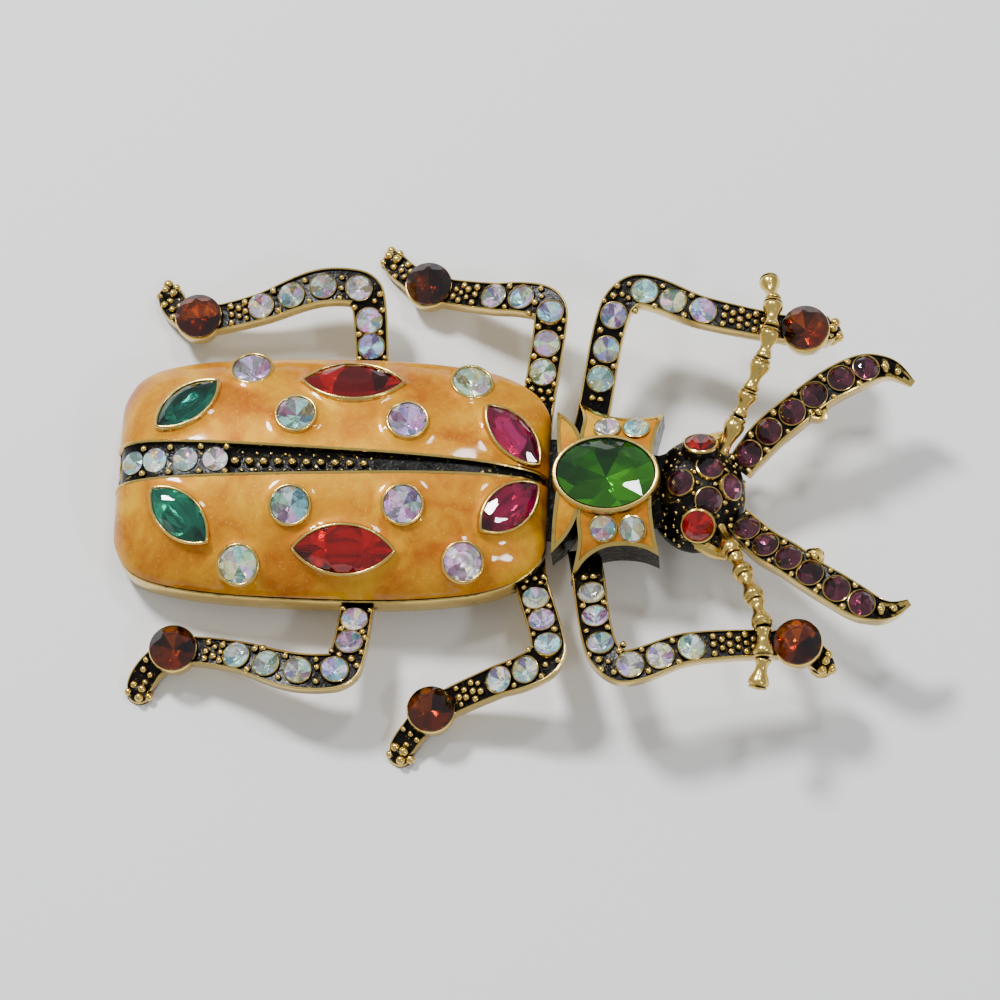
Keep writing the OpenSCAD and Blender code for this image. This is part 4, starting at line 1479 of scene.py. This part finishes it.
class BROOCH_OT_head(bpy.types.Operator):
    """Head with its granulated dark dome, stone settings, eye settings and palps"""

    bl_idname = "brooch.head"
    bl_label = "Head"

    def execute(self, context):
        dome = settle(primitive(
            "uv_sphere", "dome", segments=56, ring_count=32, radius=1, location=(HEAD_X, 0, HEAD_Z),
            scale=HEAD_SIZE))
        edit_all(dome)
        bpy.ops.mesh.bisect(
            plane_co=(0, 0, UNDER_Z), plane_no=(0, 0, -1), use_fill=True, clear_outer=True)
        bpy.ops.object.mode_set(mode="OBJECT")
        combine(dome, bores(head_seats(), radius=1.24, low=-1.0, high=2), "DIFFERENCE")
        eyes = bores([eye_seat(1), eye_seat(-1)], radius=1.4, low=-1.0, high=2)
        combine(dome, eyes, "DIFFERENCE")
        neck = self.neck()
        for obj in (dome, neck):
            darken(obj, lambda centre: True)
        cup = band("cup", circle_at(PLUM_D), [
            (0.0, -0.9), (0.0, 0.12), (-0.04, 0.18), (0.03, 0.25), (0.12, 0.2), (0.17, 0.06),
            (0.2, -0.9)], count=36)
        eye = band("eye_setting", circle_at(EYE_D + 0.2), [
            (0.02, -1.6), (0.02, 0.2), (-0.06, 0.27), (0.0, 0.36), (0.1, 0.38), (0.2, 0.3),
            (0.24, 0.1), (0.3, -0.6), (0.4, -1.6)], count=44)
        darken(eye, lambda c: c.z < 0.05)
        parts = [dome, neck, self.granules(), *copies(cup, head_seats())]
        parts += copies(eye, [eye_seat(side) for _, side in SIDES])
        parts += [self.palp(side) for _, side in SIDES]
        finish_metal(parts, "head_metal")
        return {"FINISHED"}

    def neck(self):
        rows = []
        for x, half, top in NECK:
            side = [
                (half * 0.85, UNDER_Z + 0.3), (half, UNDER_Z + 0.9), (half, top - 0.9),
                (half * 0.75, top - 0.25),
            ]
            ring = [(-y, z) for y, z in side] + [(0, top)] + [(y, z) for y, z in reversed(side)]
            rows.append([Vector((x, y, z)) for y, z in ring + ring[:1]])
        return skin("neck", rows, fill=True)

    def granules(self):
        """Granules spread over the dome, clear of its stones and of each other."""
        chance = random.Random(5)
        taken = [(seat.translation, PLUM_D / 2 + 0.42) for seat in head_seats()]
        taken += [(eye_seat(side).translation, EYE_D / 2 + 0.6) for _, side in SIDES]
        places = []
        for i in range(HEAD_TRIES):
            out = math.sqrt((i + 0.5) / HEAD_TRIES)
            x = HEAD_SIZE[0] * out * math.cos(i * GOLDEN_TURN)
            y = HEAD_SIZE[1] * out * math.sin(i * GOLDEN_TURN)
            spot = Vector((HEAD_X + x, y, head_top(x, y) - 0.05))
            clear = all((spot - centre).length > radius for centre, radius in taken)
            apart = all((spot - other[0]).length > 0.62 for other in places)
            if clear and apart and x > -4.4 and chance.random() < 0.7:
                places.append((spot + Vector((0, 0, -0.05)), 0.4 + 0.6 * chance.random()))
        for x, y in HEAD_LARGE_GRANULES:
            places.append((Vector((HEAD_X + x, y, head_top(x, y) + 0.05)), 1.2))
        return balls(places, diameter=0.5, segments=8, rings=6)

    def palp(self, side):
        rows = [
            (HEAD_X + x, side * y, UNDER_Z + z, radius) for x, y, z, radius in (
                (0.2, 5.0, 1.4, 0.9), (1.6, 5.9, 1.25, 0.8), (2.8, 6.4, 1.1, 0.6),
                (3.8, 6.7, 1, 0.15))
        ]
        return tube("palp", smooth(rows, step=0.3), count=10)


class BROOCH_OT_mandibles(bpy.types.Operator):
    """Mandibles with a tooth, plum stone settings and granules"""

    bl_idname = "brooch.mandibles"
    bl_label = "Mandibles"

    def execute(self, context):
        cup = stone_cup(PLUM_D)
        parts = []
        for _, side in SIDES:
            table = mandible_rows(side)
            rows = smooth(table, step=0.3)
            bar = sweep("bar", rows, MANDIBLE_W, rimmed(MANDIBLE_T))
            darken_floor(bar, rows, MANDIBLE_W)
            combine(bar, bores(mandible_seats(side), *SMALL_BORE), "DIFFERENCE")
            parts += [bar, self.tooth(table[4], side)]
            parts += [copy_of(cup, seat) for seat in mandible_seats(side)]
            keep_out = [(seat.translation, PLUM_D / 2 + 0.34) for seat in mandible_seats(side)]
            places = scatter(
                table, MANDIBLE_W, keep_out, pitch=0.72, seed=11, start=0.03, end=0.86)
            for k, size in ((7, 1.35), (8, 1.15)):
                places.append((Vector(table[k][:3]) + Vector((0, 0, 0.05)), size))
            places += pairs(mandible_seats(side), out=1.25)
            parts.append(balls(places, context.scene.brooch_metal.granule))
        remove(cup)
        finish_metal(parts, "mandible_metal")
        return {"FINISHED"}

    def tooth(self, row, side):
        """The small tooth inside a mandible, with its bead."""
        x, y, z = row[:3]
        rows = smooth([
            (x + 0.1, y - side * 1.35, z - 0.02, 0.5), (x + 0.35, y - side * 1.7, z - 0.02, 0.95),
            (x + 0.7, y - side * 2.1, z - 0.04, 0.75), (x + 1.05, y - side * 2.6, z - 0.1, 0.3),
        ], 0.2)
        tooth = sweep("tooth", rows, 2.3, rimmed(1.8, rim=0.1))
        bead = balls([((x + 0.45, y - side * 1.8, z - 0.05), 1)], 0.85)
        return join([tooth, bead], "tooth")


class BROOCH_OT_antennae(bpy.types.Operator):
    """Antennae of flared, knobby segments"""

    bl_idname = "brooch.antennae"
    bl_label = "Antennae"

    def execute(self, context):
        parts = []
        for _, side in SIDES:
            joints = [
                Vector(row) for row in placed(ANTENNA_BASE, ANTENNA_JOINTS, ANTENNA_L, side)]
            for a, b in zip(joints, joints[1:]):
                rows = [(*(a + (b - a) * (t - 0.03)), r) for t, r in SEGMENT]
                parts.append(tube("segment", rows, count=16))
        finish_metal(parts, "antennae_metal", angle=60, dark=False)
        return {"FINISHED"}


class BROOCH_OT_legs(bpy.types.Operator):
    """Six jointed legs with their crystal settings, granules and foot cups"""

    bl_idname = "brooch.legs"
    bl_label = "Legs"

    def execute(self, context):
        cup = stone_cup(LEG_STONE_D)
        foot = band("foot_cup", circle_at(BROWN_D), [
            (-0.16, -1.6), (-0.14, -0.34), (-0.08, -0.28), (0.03, -0.3), (0.10, -0.42),
            (0.12, -0.7), (0.06, -1.3), (-0.2, -2.5), (-0.8, -2.5)], count=48)
        for name in LEGS:
            for side_name, side in SIDES:
                self.leg(name, side_name, side, cup, foot, context.scene.brooch_metal.granule)
        remove(cup, foot)
        return {"FINISHED"}

    def leg(self, name, side_name, side, cup, foot, granule):
        """One leg with its cups, granules and toe, flat where it stands."""
        table = leg_rows(name, side)
        rows = smooth(table, step=0.3)
        bar = sweep("bar", rows, LEG_W, rimmed(LEG_T))
        darken_floor(bar, rows, LEG_W)
        hip = Vector(table[1][:3])
        # The leg is darkened within 1.5 mm of its hip, where it meets the body.
        darken(bar, lambda c: (c - hip).length < 1.5)
        seats = leg_seats(name, side)
        rest = ankle(name, side)
        combine(bar, bores(seats, *SMALL_BORE), "DIFFERENCE")
        combine(bar, bores([rest], radius=1.75, low=-CUP_H - 1.0, high=1), "DIFFERENCE")
        parts = [bar, copy_of(foot, rest)]
        parts += [copy_of(cup, seat) for seat in seats]
        keep_out = [(seat.translation, LEG_STONE_D / 2 + 0.33) for seat in seats]
        keep_out.append((rest.translation, BROWN_D / 2 + 0.5))
        heart = Vector(table[-1][:3]).lerp(Vector(table[-2][:3]), 0.7)
        keep_out.append((heart, 1.45))
        rims = pairs(seats, out=1.12)
        keep_out += [(spot, 0.72) for spot, _ in rims]
        places = scatter(
            table, LEG_W, keep_out, pitch=0.88, seed=len(name), start=0.10, end=0.96)
        parts.append(balls(rims + places, granule))
        parts.append(self.toe(heart, name))
        piece = finish_metal(parts, f"{name}_leg_metal_{side_name}")
        for vertex in piece.data.vertices:
            vertex.co.z = max(vertex.co.z, 0.0)

    def toe(self, heart, name):
        """Rounded end of a foot, with granules over it."""
        chance = random.Random(len(name))
        ball = balls([(heart + Vector((0, 0, -1.15)), 2.7)], 1.0, segments=20, rings=14)
        darken(ball, lambda c: c.z > heart.z - 0.7)
        places = []
        for k in range(7):
            turn = k * 2.4
            out = 0.35 + 0.95 * (k / 6) ** 0.6
            spot = Vector((math.cos(turn) * out, math.sin(turn) * out, 0.16 - 0.40 * out * out))
            places.append((heart + spot, 0.82 + 0.3 * chance.random()))
        return join([ball, balls(places, 1.0, segments=12, rings=8)], "toe")


class BROOCH_OT_stones(bpy.types.Operator):
    """All cut stones, each in its seat"""

    bl_idname = "brooch.stones"
    bl_label = "Stones"

    def execute(self, context):
        box = StoneBox(context.scene.brooch_stones)
        lift = Matrix.Translation((0, 0, WING_STONE_LIFT))
        for name, side in SIDES:
            for colour, place, size, slot in (
                ("green", GREEN, NAVETTE, "teal_glass"), ("red", RED, RED_NAVETTE, "red_glass"),
                ("fuchsia", FUCHSIA, NAVETTE, "fuchsia_glass"),
            ):
                stone = box.stone("navette", *size, wing_seat(place, side) @ lift)
                set_stones([stone], slot, [f"{colour}_navette_{name}"])
            for k, place in enumerate(WING_ROUNDS):
                seat = wing_seat(place, side) @ lift
                stone = box.stone("round", WING_STONE_D, WING_STONE_D, seat, aurora=True)
                set_stones([stone], "aurora_crystal", [f"wing_crystal_{name}_{k + 1}"])
            raised = eye_seat(side) @ Matrix.Translation((0, 0, 0.22))
            eye = box.stone("round", EYE_D + 0.2, EYE_D + 0.2, raised)
            set_stones([eye], "red_glass", [f"eye_{name}"])
            self.small(box, mandible_seats(side), PLUM_D, "plum_glass", f"mandible_stones_{name}")
            for leg in LEGS:
                node_name = f"{leg}_leg_crystals_{name}"
                self.small(box, leg_seats(leg, side), LEG_STONE_D, "aurora_crystal", node_name)
                rest = ankle(leg, side) @ Matrix.Translation((0, 0, -0.1))
                brown = box.stone("round", BROWN_D, BROWN_D, rest)
                set_stones([brown], "brown_glass", [f"{leg}_brown_{name}"])
        seat = Matrix.Translation((OVAL_X, 0, COLLAR_TOP))
        oval = box.stone("oval", OVAL[0] - 0.3, OVAL[1] - 0.3, seat)
        set_stones([oval], "green_glass", ["collar_oval"])
        self.small(box, collar_seats(), SMALL_D, "aurora_crystal", "collar_crystals")
        groove = [groove_seat(s, TAIL_STEP) for s in TAIL_CRYSTALS]
        self.small(box, groove, SMALL_D, "aurora_crystal", "tail_crystals")
        raised = [seat @ Matrix.Translation((0, 0, SMALL_STONE_LIFT)) for seat in head_seats()]
        self.small(box, raised, PLUM_D, "plum_glass", "head_stones")
        box.clear()
        return {"FINISHED"}

    def small(self, box, seats, diameter, slot, node_name):
        """Small round stones, each leaning a little its own way."""
        lift = Matrix.Translation((0, 0, SMALL_STONE_LIFT))
        aurora = slot == "aurora_crystal"
        made = []
        for seat in seats:
            chance = random.Random(box.made)
            lean = turned((0, 0, 0), ("X", chance.uniform(-5, 5)), ("Y", chance.uniform(-5, 5)))
            made.append(
                box.stone("round", diameter, diameter, seat @ lift @ lean, aurora, height=1.15))
        set_stones(made, slot, [node_name])


class BROOCH_OT_pin(bpy.types.Operator):
    """Finish of the pin finding on the back"""

    bl_idname = "brooch.pin"
    bl_label = "Pin"

    def execute(self, context):
        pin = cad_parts["pin_back"]
        if not pin.material_slots:
            pin.data.materials.append(finish("gilt_steel"))
        for slot in pin.material_slots:
            slot.material = finish("gilt_steel")
        return {"FINISHED"}


class BROOCH_OT_stage(bpy.types.Operator):
    """Pale floor, soft lights and the camera"""

    bl_idname = "brooch.stage"
    bl_label = "Stage"

    def execute(self, context):
        stage = context.scene.brooch_stage
        floor = primitive("grid", "floor", x_subdivisions=8, y_subdivisions=8, size=3)
        material, tree, shader = new_material("floor")
        tone = blend_colours(tree, object_noise(tree, 4, 2), stage.floor, shade(stage.floor, 1.01))
        tree.links.new(tone, shader.inputs["Base Color"])
        shader.inputs["Roughness"].default_value = 0.6
        floor.data.materials.append(material)
        world = bpy.data.worlds.new("studio")
        world.use_nodes = True
        world.node_tree.nodes["Background"].inputs["Color"].default_value = (0.92, 0.96, 1.0, 1)
        world.node_tree.nodes["Background"].inputs["Strength"].default_value = 0.55
        context.scene.world = world
        self.light("key", (-0.30, 0.32, 0.55), size=0.13, power=6.0)
        self.light("fill", (0.36, -0.26, 0.46), size=0.07, power=0.8)
        self.light("top", (0.10, 0.26, 0.60), size=0.08, power=0.9)
        self.camera(context, stage)
        return {"FINISHED"}

    def light(self, name, place, size, power):
        """A soft round light that looks at the brooch."""
        data = bpy.data.lights.new(name, "AREA")
        data.shape = "DISK"
        data.size = size
        data.energy = power
        obj = bpy.data.objects.new(name, data)
        obj.location = place
        way = Vector((0, 0, 0.005)) - Vector(place)
        obj.rotation_euler = way.to_track_quat("-Z", "Y").to_euler()
        bpy.context.collection.objects.link(obj)

    def camera(self, context, stage):
        """The camera, aimed a little beside the middle of the brooch."""
        e, a = stage.elevation, stage.turn
        forward = Vector((-math.sin(a) * math.cos(e), math.cos(a) * math.cos(e), -math.sin(e)))
        right = Vector((math.cos(a), math.sin(a), 0))
        up = right.cross(forward)
        target = Vector((-0.00054, 0, 0.0105)) - right * 0.00076 - up * 0.0030
        data = bpy.data.cameras.new("camera")
        data.lens = stage.lens
        data.sensor_width = 36
        data.clip_start = 0.01
        obj = bpy.data.objects.new("camera", data)
        axes = Matrix((right, up, -forward)).transposed().to_4x4()
        obj.matrix_world = Matrix.Translation(target - forward * stage.distance) @ axes
        bpy.context.collection.objects.link(obj)
        context.scene.camera = obj


OPERATORS = [
    BROOCH_OT_body, BROOCH_OT_wings, BROOCH_OT_wing_settings, BROOCH_OT_collar, BROOCH_OT_head,
    BROOCH_OT_mandibles, BROOCH_OT_antennae, BROOCH_OT_legs, BROOCH_OT_stones, BROOCH_OT_pin,
    BROOCH_OT_stage,
]
SETTINGS = {
    "brooch_metal": MetalSettings, "brooch_enamel": EnamelSettings, "brooch_stones": StoneSettings,
    "brooch_stage": StageSettings,
}


class BROOCH_PT_panel(bpy.types.Panel):
    """The brooch's pieces and sizes"""

    bl_label = "Stag beetle brooch"
    bl_idname = "BROOCH_PT_panel"
    bl_space_type = "VIEW_3D"
    bl_region_type = "UI"
    bl_category = "Brooch"

    def draw(self, context):
        for name, group in SETTINGS.items():
            box = self.layout.box()
            for key in group.__annotations__:
                box.prop(getattr(context.scene, name), key)
        for operator in OPERATORS:
            self.layout.operator(operator.bl_idname)


def register():
    for kind in (*SETTINGS.values(), *OPERATORS, BROOCH_PT_panel):
        bpy.utils.register_class(kind)
    for name, group in SETTINGS.items():
        setattr(bpy.types.Scene, name, PointerProperty(type=group))


def unregister():
    for name in SETTINGS:
        delattr(bpy.types.Scene, name)
    for kind in (BROOCH_PT_panel, *reversed(OPERATORS), *SETTINGS.values()):
        bpy.utils.unregister_class(kind)


def main():
    register()
    bpy.ops.brooch.body()
    bpy.ops.brooch.wings()
    bpy.ops.brooch.wing_settings()
    bpy.ops.brooch.collar()
    bpy.ops.brooch.head()
    bpy.ops.brooch.mandibles()
    bpy.ops.brooch.antennae()
    bpy.ops.brooch.legs()
    bpy.ops.brooch.stones()
    bpy.ops.brooch.pin()
    bpy.ops.brooch.stage()
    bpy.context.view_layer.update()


if __name__ == "__main__":
    main()
